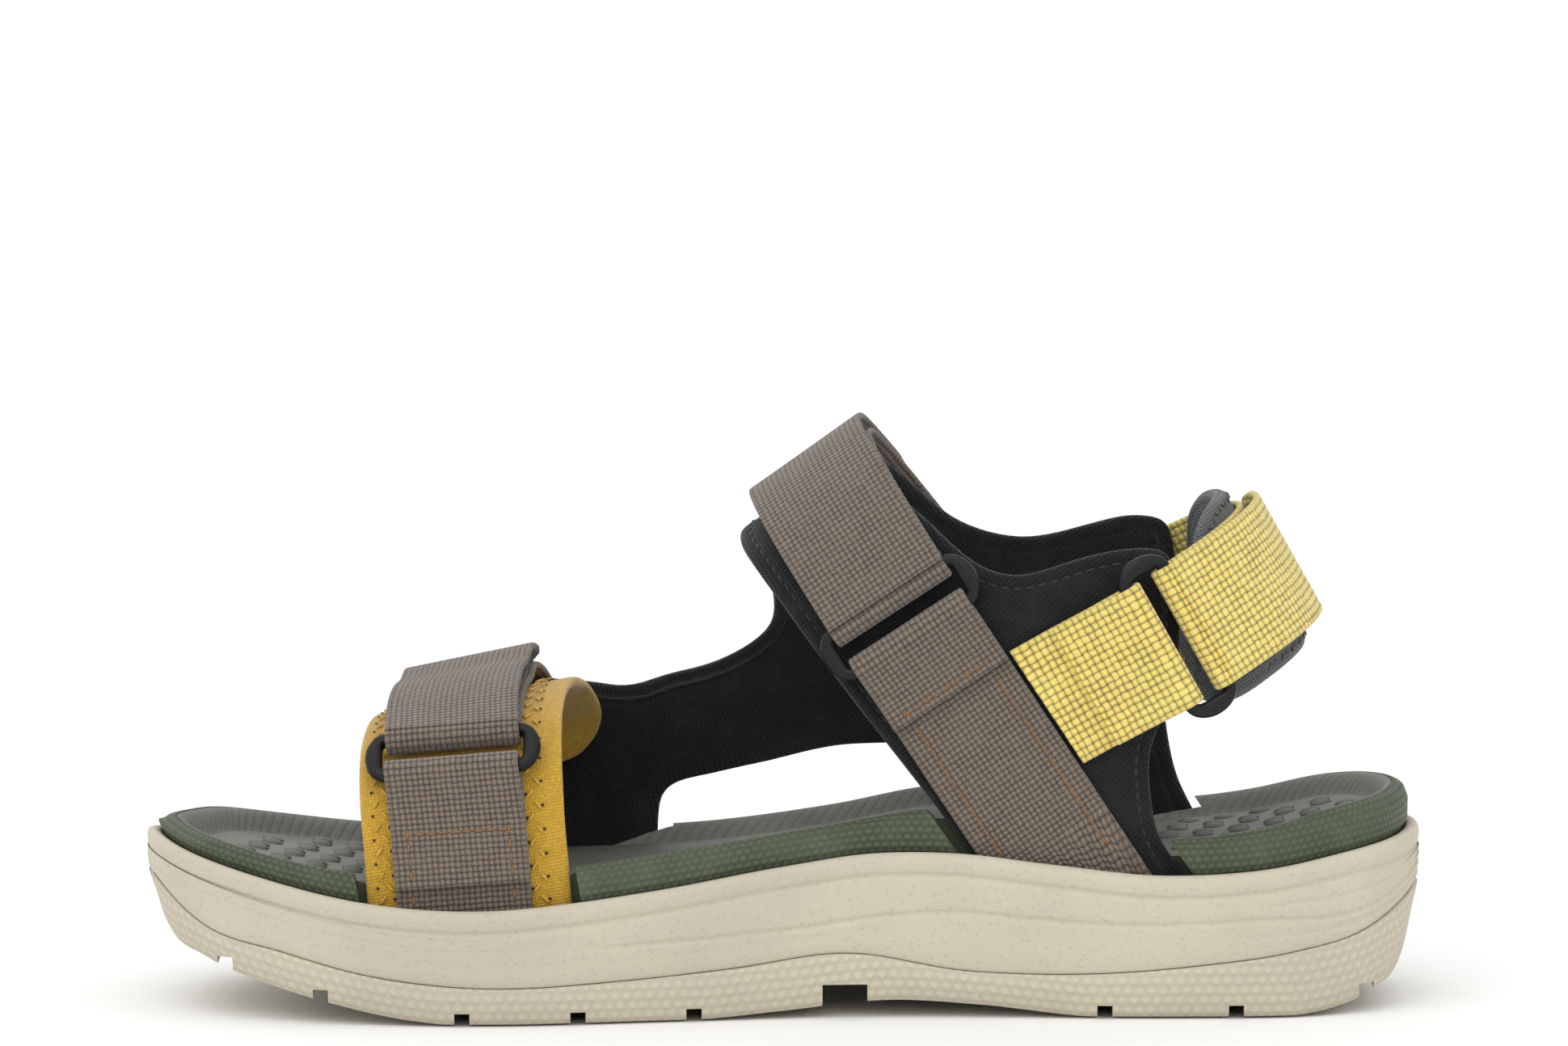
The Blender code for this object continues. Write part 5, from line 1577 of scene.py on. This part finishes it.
class SandalColours(bpy.types.PropertyGroup):
    sole: colour_setting("Sole", "Colour of the midsole foam", (0.575, 0.525, 0.412))
    tread: colour_setting("Tread", "Colour of the outsole rubber", (0.6, 0.545, 0.425))
    bed_side: colour_setting("Footbed side", "Colour of the footbed's bead", (0.06, 0.075, 0.043))
    # The top's grey is the side's dark green lightened: painted reflection on the same moulding.
    bed_top_painted_reflection: colour_setting("Footbed top", "Colour of the footbed's top", (0.185, 0.195, 0.168))
    mustard: colour_setting(
        "Forefoot padding", "Colour of the forefoot padding and its thread", (0.6, 0.35, 0.032)
    )
    grey: colour_setting("Heel padding", "Colour of the heel padding", (0.1, 0.106, 0.108))
    black: colour_setting("Knit", "Colour of the black knit panels", (0.0085, 0.0085, 0.0095))
    brown: colour_setting(
        "Brown webbing", "Colour of the forefoot and instep webbing", (0.14, 0.111, 0.084)
    )
    yellow: colour_setting("Yellow webbing", "Colour of the heel webbing", (0.76, 0.6, 0.155))
    thread: colour_setting(
        "Box stitching", "Colour of the stitching on the brown webbing", (0.26, 0.12, 0.035)
    )
    ring: colour_setting("Rings", "Colour of the moulded rings", (0.006, 0.006, 0.0065))
    floor: colour_setting("Floor", "Colour of the floor", (0.97, 0.97, 0.97))


class SandalSizes(bpy.types.PropertyGroup):
    groove: length_setting("Sole groove", "Depth of the lines moulded round the sole", 0.55 * MM)
    weave: length_setting("Weave", "Distance between the threads of the brown webbing", 1.25 * MM)
    coarse_weave: length_setting(
        "Coarse weave", "Distance between the threads of the yellow webbing", 1.7 * MM
    )
    stitch: length_setting("Stitch", "Length of one stitch", 2.3 * MM)
    thread: length_setting("Thread", "Thickness of the sewing thread", 0.62 * MM)
    pressure: FloatProperty(
        name="Padding pressure", description="Pressure that fills the padding", default=4.0, min=0.0
    )
    nodule: length_setting("Nodule", "Length of one raised oval on the footbed", 5.2 * MM)


class StageSettings(bpy.types.PropertyGroup):
    elevation: FloatProperty(
        name="Camera height angle", description="How far the camera looks down",
        default=math.radians(6.5), subtype="ANGLE"
    )
    distance: length_setting("Camera distance", "From the camera to the sandal", 3.0)
    view_width: length_setting("View width", "Width of the view at the sandal", 0.35114)
    key: FloatProperty(name="Key light", description="Strength of the main light", default=0.75, min=0.0)
    sky: FloatProperty(
        name="Room light", description="Strength of the light from all round", default=0.86, min=0.0
    )


def colours():
    return bpy.context.scene.sandal_colours


def sizes():
    return bpy.context.scene.sandal_sizes


def finish_for(key):
    """The material of one finish, made the first time that it is asked for."""
    made = bpy.data.materials.get(key)
    if made:
        return made
    c = colours()
    makers = {
        "sole_foam": lambda: foam_material("sole_foam", c.sole),
        "tread_rubber": lambda: foam_material("tread_rubber", c.tread, pebbles=2.6),
        "footbed_side": lambda: footbed_side_material("footbed_side", c.bed_side),
        "footbed_top_painted_reflection": lambda: footbed_top_painted_reflection_material("footbed_top_painted_reflection", c.bed_top_painted_reflection),
        "padding_twill": lambda: twill_material("padding_twill", c.mustard),
        "padding_knit": lambda: knit_material("padding_knit", c.grey, 0.7, (2.4,), 0.16, 0.12),
        "panel_knit": lambda: knit_material("panel_knit", c.black),
        "brown_webbing": lambda: webbing_material(
            "brown_webbing", c.brown, sizes().weave / MM, sizes().weave / MM, 2.0, 0.5, 1.7
        ),
        "yellow_webbing": lambda: webbing_material(
            "yellow_webbing", c.yellow, sizes().coarse_weave / MM, sizes().coarse_weave / MM, 2.0,
            0.6, 1.25
        ),
        "loop_fabric": lambda: tape_material("loop_fabric", (0.05, 0.05, 0.052), 1500.0, 0.5, 0.95),
        "hook_fabric": lambda: tape_material("hook_fabric", (0.014, 0.014, 0.015), 2600.0, 0.4, 0.6),
        "moulded_plastic": lambda: ring_material("moulded_plastic", c.ring),
        "thread_mustard": lambda: thread_material("thread_mustard", shade(c.mustard, 1.15)),
        "thread_brown": lambda: thread_material("thread_brown", c.thread),
        "thread_black": lambda: thread_material("thread_black", (0.013, 0.013, 0.014)),
        "thread_yellow": lambda: thread_material("thread_yellow", shade(c.yellow, 0.75)),
        "thread_grey": lambda: thread_material("thread_grey", shade(c.grey, 0.55)),
        # Dark colour for the needle holes: painted shade.
        "needle_hole_shade": lambda: thread_material("needle_hole_shade", (0.02, 0.014, 0.008)),
        "floor_paper": lambda: floor_material("floor_paper", c.floor),
    }
    return makers[key]()


# ---------------------------------------------------------------- operators

class BuildStage(bpy.types.Operator):
    """Pale floor, soft lights and the camera"""

    bl_idname = "sandal.stage"
    bl_label = "Stage"

    def execute(self, context):
        s = context.scene.sandal_stage
        floor = new_piece(
            "floor", [(-4000, -4000, 0), (4000, -4000, 0), (4000, 4000, 0), (-4000, 4000, 0)],
            [(0, 1, 2, 3)], [finish_for("floor_paper")]
        )
        for v in floor.data.vertices:
            v.co.z = -0.0003
        world = bpy.data.worlds.new("Room")
        world.use_nodes = True
        world.node_tree.nodes["Background"].inputs["Color"].default_value = (1, 1, 1, 1)
        world.node_tree.nodes["Background"].inputs["Strength"].default_value = s.sky
        context.scene.world = world
        context.scene.view_settings.view_transform = "Standard"
        for name, leans, share, soft in (
            ("key", (38, -28), 1.0, 50), ("fill", (52, 40), 0.35, 70), ("back", (-55, 15), 0.25, 60)
        ):
            light = bpy.data.lights.new(name, "SUN")
            light.energy, light.angle = s.key * share, math.radians(soft)
            lamp = bpy.data.objects.new(name, light)
            lamp.rotation_euler = (math.radians(leans[0]), 0, math.radians(leans[1]))
            context.scene.collection.objects.link(lamp)
        camera = bpy.data.cameras.new("camera")
        camera.sensor_width = 36.0
        camera.lens = 36.0 * s.distance / s.view_width
        camera.clip_end = 30.0
        eye = bpy.data.objects.new("camera", camera)
        eye.location = (0, -s.distance * math.cos(s.elevation), 0.1062 + s.distance * math.sin(s.elevation))
        eye.rotation_euler = (math.pi / 2 - s.elevation, 0, 0)
        context.scene.collection.objects.link(eye)
        context.scene.camera = eye
        return {"FINISHED"}


second_groove = smooth([
    (-HALF, 33.5), (-0.8 * HALF, 23.5), (-0.5 * HALF, 15.8), (-0.28 * HALF, 17.2),
    (-0.2 * HALF, 18.0), (0.04 * HALF, 21.2),
    (0.15 * HALF, 23.4), (0.27 * HALF, 24.2), (0.38 * HALF, 22.6), (0.55 * HALF, 21.0),
    (0.72 * HALF, 21.9), (0.95 * HALF, 26.5), (HALF, 31.5),
])


def groove_rings(height, depth, base, width=1.0):
    """Rings that cut one line into the sole's side. depth and base are numbers or one for each point."""
    rings = []
    for up, share in (
        (-1.5, 0.0), (-0.85, 0.12), (-0.5, 0.55), (-0.2, 0.95), (0.2, 0.95), (0.5, 0.55),
        (0.85, 0.12), (1.5, 0.0)
    ):
        rings.append(sole_ring(base + depth * share, raised(height, up * width * 0.75)))
    return rings


ARCH = 0.095  # the deep notch under the arch, as a share of half the length
NOTCHES = (-0.87, -0.72, -0.5, -0.32, -0.14, ARCH, 0.5, 0.705, 0.91)


class BuildOutsole(bpy.types.Operator):
    """Outsole with its tread notches"""

    bl_idname = "sandal.outsole"
    bl_label = "Outsole"

    def execute(self, context):
        def between(share):
            return lambda x, y: ground(x, y) * (1 - share) + (parting(x, y) - GAP) * share

        rows = [
            (4.2, ground), (3.2, raised(ground, 0.12)), (2.2, raised(ground, 0.75)),
            (1.6, raised(ground, 1.6)),
            (1.1, lambda x, y: ground(x, y) * 0.75 + parting(x, y) * 0.25 + 0.6),
            (0.5, between(0.55)), (0.35, between(0.75)),
            (0.42, raised(parting, -GAP - 0.8)), (0.6, raised(parting, -GAP - 0.3)),
            (0.95, raised(parting, -GAP + 0.1)),
        ]
        rings = [sole_ring(*row) for row in rows]
        body = sole_shape(
            "outsole_tread", rings, ground, raised(parting, -GAP), [finish_for("tread_rubber")],
            cells=10
        )
        cutters = []
        for number, share in enumerate(NOTCHES):
            x = share * HALF
            floor = float(ground(x, 0))
            wide, deep = (ARCH_NOTCH, ARCH_NOTCH_DEPTH) if share == ARCH else (TREAD_GROOVE, TREAD_DEPTH)
            cutters.append(
                block(
                    f"notch_{number}", (x - wide / 2, -BALL - 5, floor - 6),
                    (x + wide / 2, BALL + 5, floor + deep)
                )
            )
        carve(body, cutters)
        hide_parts("outsole")
        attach(body, "sandal")
        return {"FINISHED"}


class BuildMidsole(bpy.types.Operator):
    """Midsole foam with its moulded lines and rolled lip"""

    bl_idname = "sandal.midsole"
    bl_label = "Midsole"

    def execute(self, context):
        depth = sizes().groove / MM
        x, y = SOLE_LOOP.T
        fade = np.clip((x + 52) / 26, 0, 1)
        fade = fade * fade * (3 - 2 * fade)
        heel = np.clip((x - 98) / 22, 0, 1)
        heel = heel * heel * (3 - 2 * heel)
        second = with_drop(second_groove, 0.65)

        def blend_of(a, b, share):
            return lambda x, y: a(x, y) * (1 - share) + b(x, y) * share

        bead = raised(lip, -4.9)
        low_ridge, high_ridge = blend_of(parting, second, 0.5), blend_of(second, bead, 0.5)
        rings = [
            sole_ring(1.1, raised(parting, -0.1)), sole_ring(0.72, raised(parting, 0.25)),
            sole_ring(0.45, raised(parting, 0.9)),
            *groove_rings(low_ridge, depth * 0.4 * heel, 0.2, 1.0),
            *groove_rings(second, depth * 0.8 * fade, 0.05, 1.2),
            *groove_rings(high_ridge, depth * 0.45 * heel, 0.0, 1.0),
            *groove_rings(bead, depth, 0.12, 1.2),
            sole_ring(0.0, raised(lip, -2.6)), sole_ring(0.05, raised(lip, -1.7)),
            sole_ring(0.3, raised(lip, -0.9)),
            sole_ring(0.75, raised(lip, -0.3)), sole_ring(1.4, lip), sole_ring(RIM_WALL - 0.9, lip),
            sole_ring(RIM_WALL - 0.25, raised(lip, -0.3)), sole_ring(RIM_WALL, raised(lip, -1.1)),
            sole_ring(RIM_WALL, cavity_floor),
        ]
        body = sole_shape(
            "midsole_shell", rings, parting, cavity_floor, [finish_for("sole_foam")], sharp=50,
            cells=10
        )
        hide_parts("midsole")
        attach(body, "sandal")
        return {"FINISHED"}


def footbed_floor(x, y):
    return bed(x, y) - FOOTBED_DISH


def slot_cutter(name, form, low, high, side, inner):
    """What the footbed loses so that tails can pass outside it, between two places along a form."""
    top = foot_girth(form, (low + high) / 2, side, inner) - side * (CAVITY_DEPTH + 45)
    bottom = foot_girth(form, (low + high) / 2, side, inner) + side * 16
    points = []
    for girth in steps(bottom, top, 4.0):
        for height in (inner - GAP, inner + 14.0):
            points.extend(off(form, along, girth, height) for along in (low - 0.6, high + 0.6))
    count = len(points) // 4
    faces = [(0, 1, 3, 2), (4 * count - 4, 4 * count - 2, 4 * count - 1, 4 * count - 3)]
    ring = (0, 1, 3, 2)
    for i in range(count - 1):
        for k in range(4):
            a, b = ring[k], ring[(k + 1) % 4]
            faces.append((4 * i + a, 4 * i + b, 4 * i + 4 + b, 4 * i + 4 + a))
    return new_piece(name, points, faces, [])


BED_EVENED = 14  # rounds that soften the bed's corners


class BuildFootbed(bpy.types.Operator):
    """Footbed with its pebbled bead, recessed floor and strap slots"""

    bl_idname = "sandal.footbed"
    bl_label = "Footbed"

    def execute(self, context):
        edge = RIM_WALL + GAP
        side_rows = [
            (edge, raised(cavity_floor, GAP)), (edge, raised(lip, -1.2)), (edge, raised(lip, -0.2)),
            (edge - 0.5, raised(lip, 0.6)), (edge - 0.95, raised(lip, 1.5)),
            (edge - 1.0, lambda x, y: np.minimum(lip(x, y) * 0.4 + bed(x, y) * 0.6, bed(x, y) - 2.2)),
        ]
        bed_rows = [
            (edge - 0.5, raised(bed, -1.5)), (edge + 0.15, raised(bed, -0.8)),
            (edge + 1.1, raised(bed, -0.25)),
            (edge + 2.0, bed), (edge + 2.15, raised(bed, -0.35)), (edge + 2.4, raised(bed, -0.35)),
            (edge + 2.55, bed), (edge + 3.6, raised(bed, -0.1)),
            (edge + FOOTBED_RIM - 0.9, raised(bed, -0.7)), (edge + FOOTBED_RIM - 0.2, raised(bed, -1.7)),
            (edge + FOOTBED_RIM + 0.5, raised(bed, -3.2)),
            (edge + FOOTBED_RIM + 0.9, raised(footbed_floor, -0.1)),
            (edge + FOOTBED_RIM + 1.5, raised(footbed_floor, -0.45)),
            (edge + FOOTBED_RIM + 2.4, footbed_floor),
        ]
        rings = [sole_ring(*row) for row in side_rows]
        rings += [sole_ring(*row, BED_EVENED) for row in bed_rows]
        # From ring 10 on the footbed takes the lighter grey top finish, a painted reflection on the same
        # green moulding.
        body = sole_shape(
            "footbed_cushion", rings, raised(cavity_floor, GAP), footbed_floor,
            [finish_for("footbed_side"), finish_for("footbed_top_painted_reflection")], split=10, cells=16,
        )
        _, (fore_low, fore_high) = forefoot_pad_pattern()
        carve(body, [
            slot_cutter("slot_0", FORE, fore_low, fore_high, -1, 0.0),
            slot_cutter("slot_1", ANKLE, QUARTER_FRONT - 1.5, QUARTER_REAR + 2.5, -1, 0.0),
            slot_cutter("slot_2", FORE, VAMP_FRONT, VAMP_REAR + 6.5, 1, OVERLAY),
            slot_cutter("slot_3", ANKLE, FAR_FRONT, FAR_REAR + 3.0, 1, OVERLAY),
        ], 50)
        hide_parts("footbed")
        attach(body, "sandal")
        return {"FINISHED"}


class BuildNodules(bpy.types.Operator):
    """Raised double ovals on the footbed's toe and heel"""

    bl_idname = "sandal.nodules"
    bl_label = "Footbed nodules"

    def execute(self, context):
        room = [tuple(p) for p in inset(RIM_WALL + GAP + FOOTBED_RIM + 6.5)]
        spots = []
        for rows in (np.arange(-126.0, -92.0, 8.0), np.arange(86.0, 130.0, 8.0)):
            for x in rows:
                for k, y in enumerate(np.arange(-36.0, 37.0, 12.0)):
                    for half in (-2.3, 2.3):
                        p = (x + (k % 3) * 2.7, y + half)
                        if inside(p, room):
                            z = float(footbed_floor(*p))
                            ahead = np.array(
                                [
                                    1.0, 0.0,
                                    float(footbed_floor(x + 0.5, y)) - float(footbed_floor(x - 0.5, y))
                                ]
                            )
                            spots.append(((*p, z + 0.05), ahead, np.cross(ahead, (0, 1, 0))))
        length = sizes().nodule / MM
        # The nodules share the top's lighter grey, a painted reflection.
        piece = scatter(
            "footbed_nodules", spots, length, length * 0.66, 1.9, finish_for("footbed_top_painted_reflection"), 0.03
        )
        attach(piece, "sandal")
        return {"FINISHED"}


LAID = {}  # flat borders of the padded pieces, for their stitching


class BuildPadding(bpy.types.Operator):
    """Forefoot and heel padding, filled by a cloth simulation"""

    bl_idname = "sandal.padding"
    bl_label = "Padding"

    def execute(self, context):
        pattern, _ = forefoot_pad_pattern()
        pad, flat, margin, side, loop = padded_panel(
            "forefoot_padding", FORE, pattern, 0.25, PANEL - 0.1, finish_for("padding_twill"),
            size=2.6
        )
        LAID["forefoot_padding"] = (FORE, loop, 1.0)
        t = (flat[:, 0] - FORE_PATH.start - FORE_PATH.slope * flat[:, 1]) * math.cos(FORE_PATH.turn)
        free = np.clip((np.abs(t) - 15.5) / 3.0, 0, 1)
        reach = np.where(side > 0, 0.12 + 1.0 * free, 0.25 + 0.5 * free)
        reach[flat[:, 1] < -66] = 0.0
        reach[(flat[:, 1] > 14) & (side > 0)] = 0.1
        puff(pad, sizes().pressure, reach)
        finer(pad)
        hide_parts("forefoot_pad")
        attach(pad, "sandal")

        pad, flat, _, side, loop = padded_panel(
            "heel_padding", HEELS, heel_pad_pattern(), 0.3, HEEL_PAD - 0.1,
            finish_for("padding_knit"), size=2.8, edge_roll=1.8
        )
        LAID["heel_padding"] = (HEELS, loop, 1.0)
        free = np.clip((np.abs(flat[:, 0] - HEEL_PATH.start) - 15.5) / 2.5, 0, 1)
        reach = np.where(side > 0, 0.12 + 0.9 * free, 0.9)
        puff(pad, sizes().pressure, reach)
        finer(pad)
        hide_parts("heel_pad")
        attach(pad, "sandal")
        return {"FINISHED"}


class BuildPanels(bpy.types.Operator):
    """Black knit panels over thin foam, filled by a cloth simulation"""

    bl_idname = "sandal.panels"
    bl_label = "Knit panels"

    def execute(self, context):
        for name, node, form, pattern, low, scale in (
            ("medial_knit_quarter", "medial_quarter", ANKLE, medial_quarter_pattern(), 0.0, 1.0),
            (
                "lateral_knit_upper", "lateral_upper", LATERAL, lateral_upper_pattern(), OVERLAY,
                LATERAL.stride
            ),
        ):
            panel, _, margin, side, loop = padded_panel(
                name, form, pattern, low + 0.15, low + PANEL - 0.1, finish_for("panel_knit"),
                size=3.4, along_scale=scale,
            )
            LAID[name] = (form, loop, scale)
            between = np.exp(-(((margin - 3.4) / 1.0) ** 2))
            reach = np.where(side > 0, 0.1, 0.3) * np.ones(len(margin)) + np.where(margin < 2.6, 0.12, 0.0)
            reach = reach * (1 - 0.9 * between)
            puff(panel, sizes().pressure, reach)
            finer(panel)
            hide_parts(node)
            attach(panel, "sandal")
        return {"FINISHED"}


class BuildWebbing(bpy.types.Operator):
    """Keepers, straps and tabs of webbing"""

    bl_idname = "sandal.webbing"
    bl_label = "Webbing"

    def execute(self, context):
        for key, strap in STRAPS.items():
            finish, path = finish_for("yellow_webbing" if key == "heel" else "brown_webbing"), strap.path
            piece = band(f"{key}_keeper_webbing", strap.keeper(), WEBBING, finish)
            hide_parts(f"{key}_keeper")
            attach(piece, "sandal")
            piece = band(f"{key}_strap_webbing", strap.strap(), WEBBING, finish)
            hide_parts(f"{key}_strap", f"{key}_strap_turn")
            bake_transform(piece)
            piece = band(f"{key}_tab_webbing", strap.tab(), WEBBING, finish, phase=0.3)
            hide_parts(f"{key}_strap_tab")
            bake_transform(piece)
        return {"FINISHED"}


class BuildFastenings(bpy.types.Operator):
    """Rings, and the hook and loop tape under the tabs"""

    bl_idname = "sandal.fastenings"
    bl_label = "Rings and tape"

    def execute(self, context):
        for key, strap in STRAPS.items():
            ring = oval_ring(f"{key}_ring_moulding", strap.path, finish_for("moulded_plastic"))
            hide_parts(f"{key}_ring")
            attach(ring, f"{key}_ring_body")
            reach = strap.path.ring_girth + BAR_SPREAD
            for part, start, end, height, thick in (
                ("loop", reach + 5.0, strap.loop_end, LOOP, LOOP_PATCH),
                ("hook", reach + 8.0, strap.loop_end - 2.0, HOOK, HOOK_PATCH),
            ):
                piece = band(
                    f"{key}_{part}_tape", strap.patch(start, end, height), thick,
                    finish_for(f"{part}_fabric")
                )
                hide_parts(f"{key}_{part}_patch")
                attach(piece, "sandal")
        return {"FINISHED"}


class BuildStitching(bpy.types.Operator):
    """Box stitches, zig-zags and rows of sewing"""

    bl_idname = "sandal.stitching"
    bl_label = "Stitching"

    def execute(self, context):
        stitch, thread = sizes().stitch / MM, sizes().thread / MM
        outer = WEBBING / 2 + thread * 0.12

        def rows(strap, t_values, top, low, step):
            """Two lines from a cross line down to the sole, over the doubled webbing and then the single."""
            path = strap.path
            fold = path.ring_girth - strap.double

            def height(g):
                return strap.base(g) + outer + (WEBBING + GAP if g > fold + 0.6 else 0.0)

            spots = []
            for t in t_values:
                marks = [g for g in np.arange(top, low, -step) if abs(g - fold) > step * 0.6]
                spots += along_strap(path, marks, height, t)
            return spots

        fore, instep, heel = STRAPS["forefoot"], STRAPS["instep"], STRAPS["heel"]
        brown = []
        for strap, edge, drop, low in ((fore, 11.2, 15.5, -86.0), (instep, 10.4, 17.6, -112.0)):
            top = strap.path.ring_girth - drop
            brown += rows(strap, (-edge, edge), top, low, stitch * 1.15)
            brown += across_strap(strap.path, top, DOUBLE + outer, -edge, edge, stitch * 1.15)
        done = [("webbing_thread", brown, "thread_brown", "webbing_brown", "sandal", 1.0)]

        fold = heel.path.ring_girth - heel.double
        yellow = across_strap(
            heel.path, fold + 2.6, heel.base(fold) + WEBBING + GAP + outer, -12.0, 12.0,
            stitch * 1.15
        )
        done.append(("heel_keeper_thread", yellow, "thread_yellow", "webbing_yellow", "sandal", 1.0))
        tab_line = across_strap(
            heel.path, heel.tab_end - 7.5, heel.tab_height(0) + outer, -12.5, 12.5, stitch * 1.15
        )
        done.append(("heel_tab_thread", tab_line, "thread_yellow", "webbing_yellow", "heel_tab_body", 1.0))

        zigzag = []
        for t in (-17.0, 17.0):
            for k, g in enumerate(np.arange(-74.0, 13.0, 2.5)):
                zigzag += along_strap(
                    FORE_PATH, [g], PANEL + 0.35, t + (0.9 if k % 2 else -0.9),
                    0.42 * (1 if k % 2 else -1)
                )
        done.append(("padding_thread", zigzag, "thread_mustard", "padding_mustard", "sandal", 1.25))
        # Dark spots at the needle holes: painted shade in the holes.
        holes = []
        for t in (-18.9, 18.9, -15.3, 15.3):
            holes += along_strap(
                FORE_PATH, np.arange(-74.0 + (2.5 if abs(t) > 17 else 0), 13.0, 5.0), PANEL + 0.25,
                t
            )
        done.append(("padding_needle_hole_shades", holes, "needle_hole_shade", "padding_mustard", "sandal", 0.0))

        black = []
        for name in ("medial_knit_quarter", "lateral_knit_upper"):
            form, loop, scale = LAID[name]
            height = (OVERLAY if form is LATERAL else 0.0) + PANEL - 0.12
            black += along_border(form, loop, scale, height, 3.4, stitch * 1.2)
        done.append(("panel_thread", black, "thread_black", "knit_black", "sandal", 1.0))
        form, loop, scale = LAID["heel_padding"]
        done.append(
            (
                "heel_padding_thread",
                along_border(form, loop, scale, HEEL_PAD + 0.1, 2.4, stitch, 0.6), "thread_grey",
                "padding_grey", "sandal", 1.1
            )
        )

        for name, spots, finish, slot, body, share in done:
            if share:
                piece = scatter(name, spots, stitch * share, thread, thread * 0.75, finish_for(finish))
            else:
                piece = scatter(name, spots, 0.75, 0.75, 0.3, finish_for(finish))
            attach(piece, body)
        return {"FINISHED"}


OPERATORS = (
    BuildStage, BuildOutsole, BuildMidsole, BuildFootbed, BuildNodules, BuildPadding, BuildPanels,
    BuildWebbing,
    BuildFastenings, BuildStitching,
)


class SandalPanel(bpy.types.Panel):
    """Lists the sandal's settings and the buttons that build it"""

    bl_idname = "VIEW3D_PT_sandal"
    bl_label = "Strappy sport sandal"
    bl_space_type = "VIEW_3D"
    bl_region_type = "UI"
    bl_category = "Sandal"

    def draw(self, context):
        for group in (context.scene.sandal_sizes, context.scene.sandal_colours, context.scene.sandal_stage):
            box = self.layout.box()
            for label in group.__annotations__:
                box.prop(group, label)
        for operator in OPERATORS:
            self.layout.operator(operator.bl_idname)


SETTINGS = (
    ("sandal_colours", SandalColours), ("sandal_sizes", SandalSizes),
    ("sandal_stage", StageSettings)
)


def register():
    for _, group in SETTINGS:
        bpy.utils.register_class(group)
    for name, group in SETTINGS:
        setattr(bpy.types.Scene, name, PointerProperty(type=group))
    for cls in (*OPERATORS, SandalPanel):
        bpy.utils.register_class(cls)


def unregister():
    for cls in (SandalPanel, *OPERATORS[::-1]):
        bpy.utils.unregister_class(cls)
    for name, group in SETTINGS:
        delattr(bpy.types.Scene, name)
        bpy.utils.unregister_class(group)


def main():
    register()
    for name, make in (
        ("Moulded grain", make_grain_group), ("Weave", make_weave_group), ("Knit", make_knit_group),
        ("Wear", make_wear_group), ("Pebbles", make_studs_group),
    ):
        GROUPS[name] = make()
    for operator in OPERATORS:
        group, name = operator.bl_idname.split(".")
        getattr(getattr(bpy.ops, group), name)()


if __name__ == "__main__":
    main()
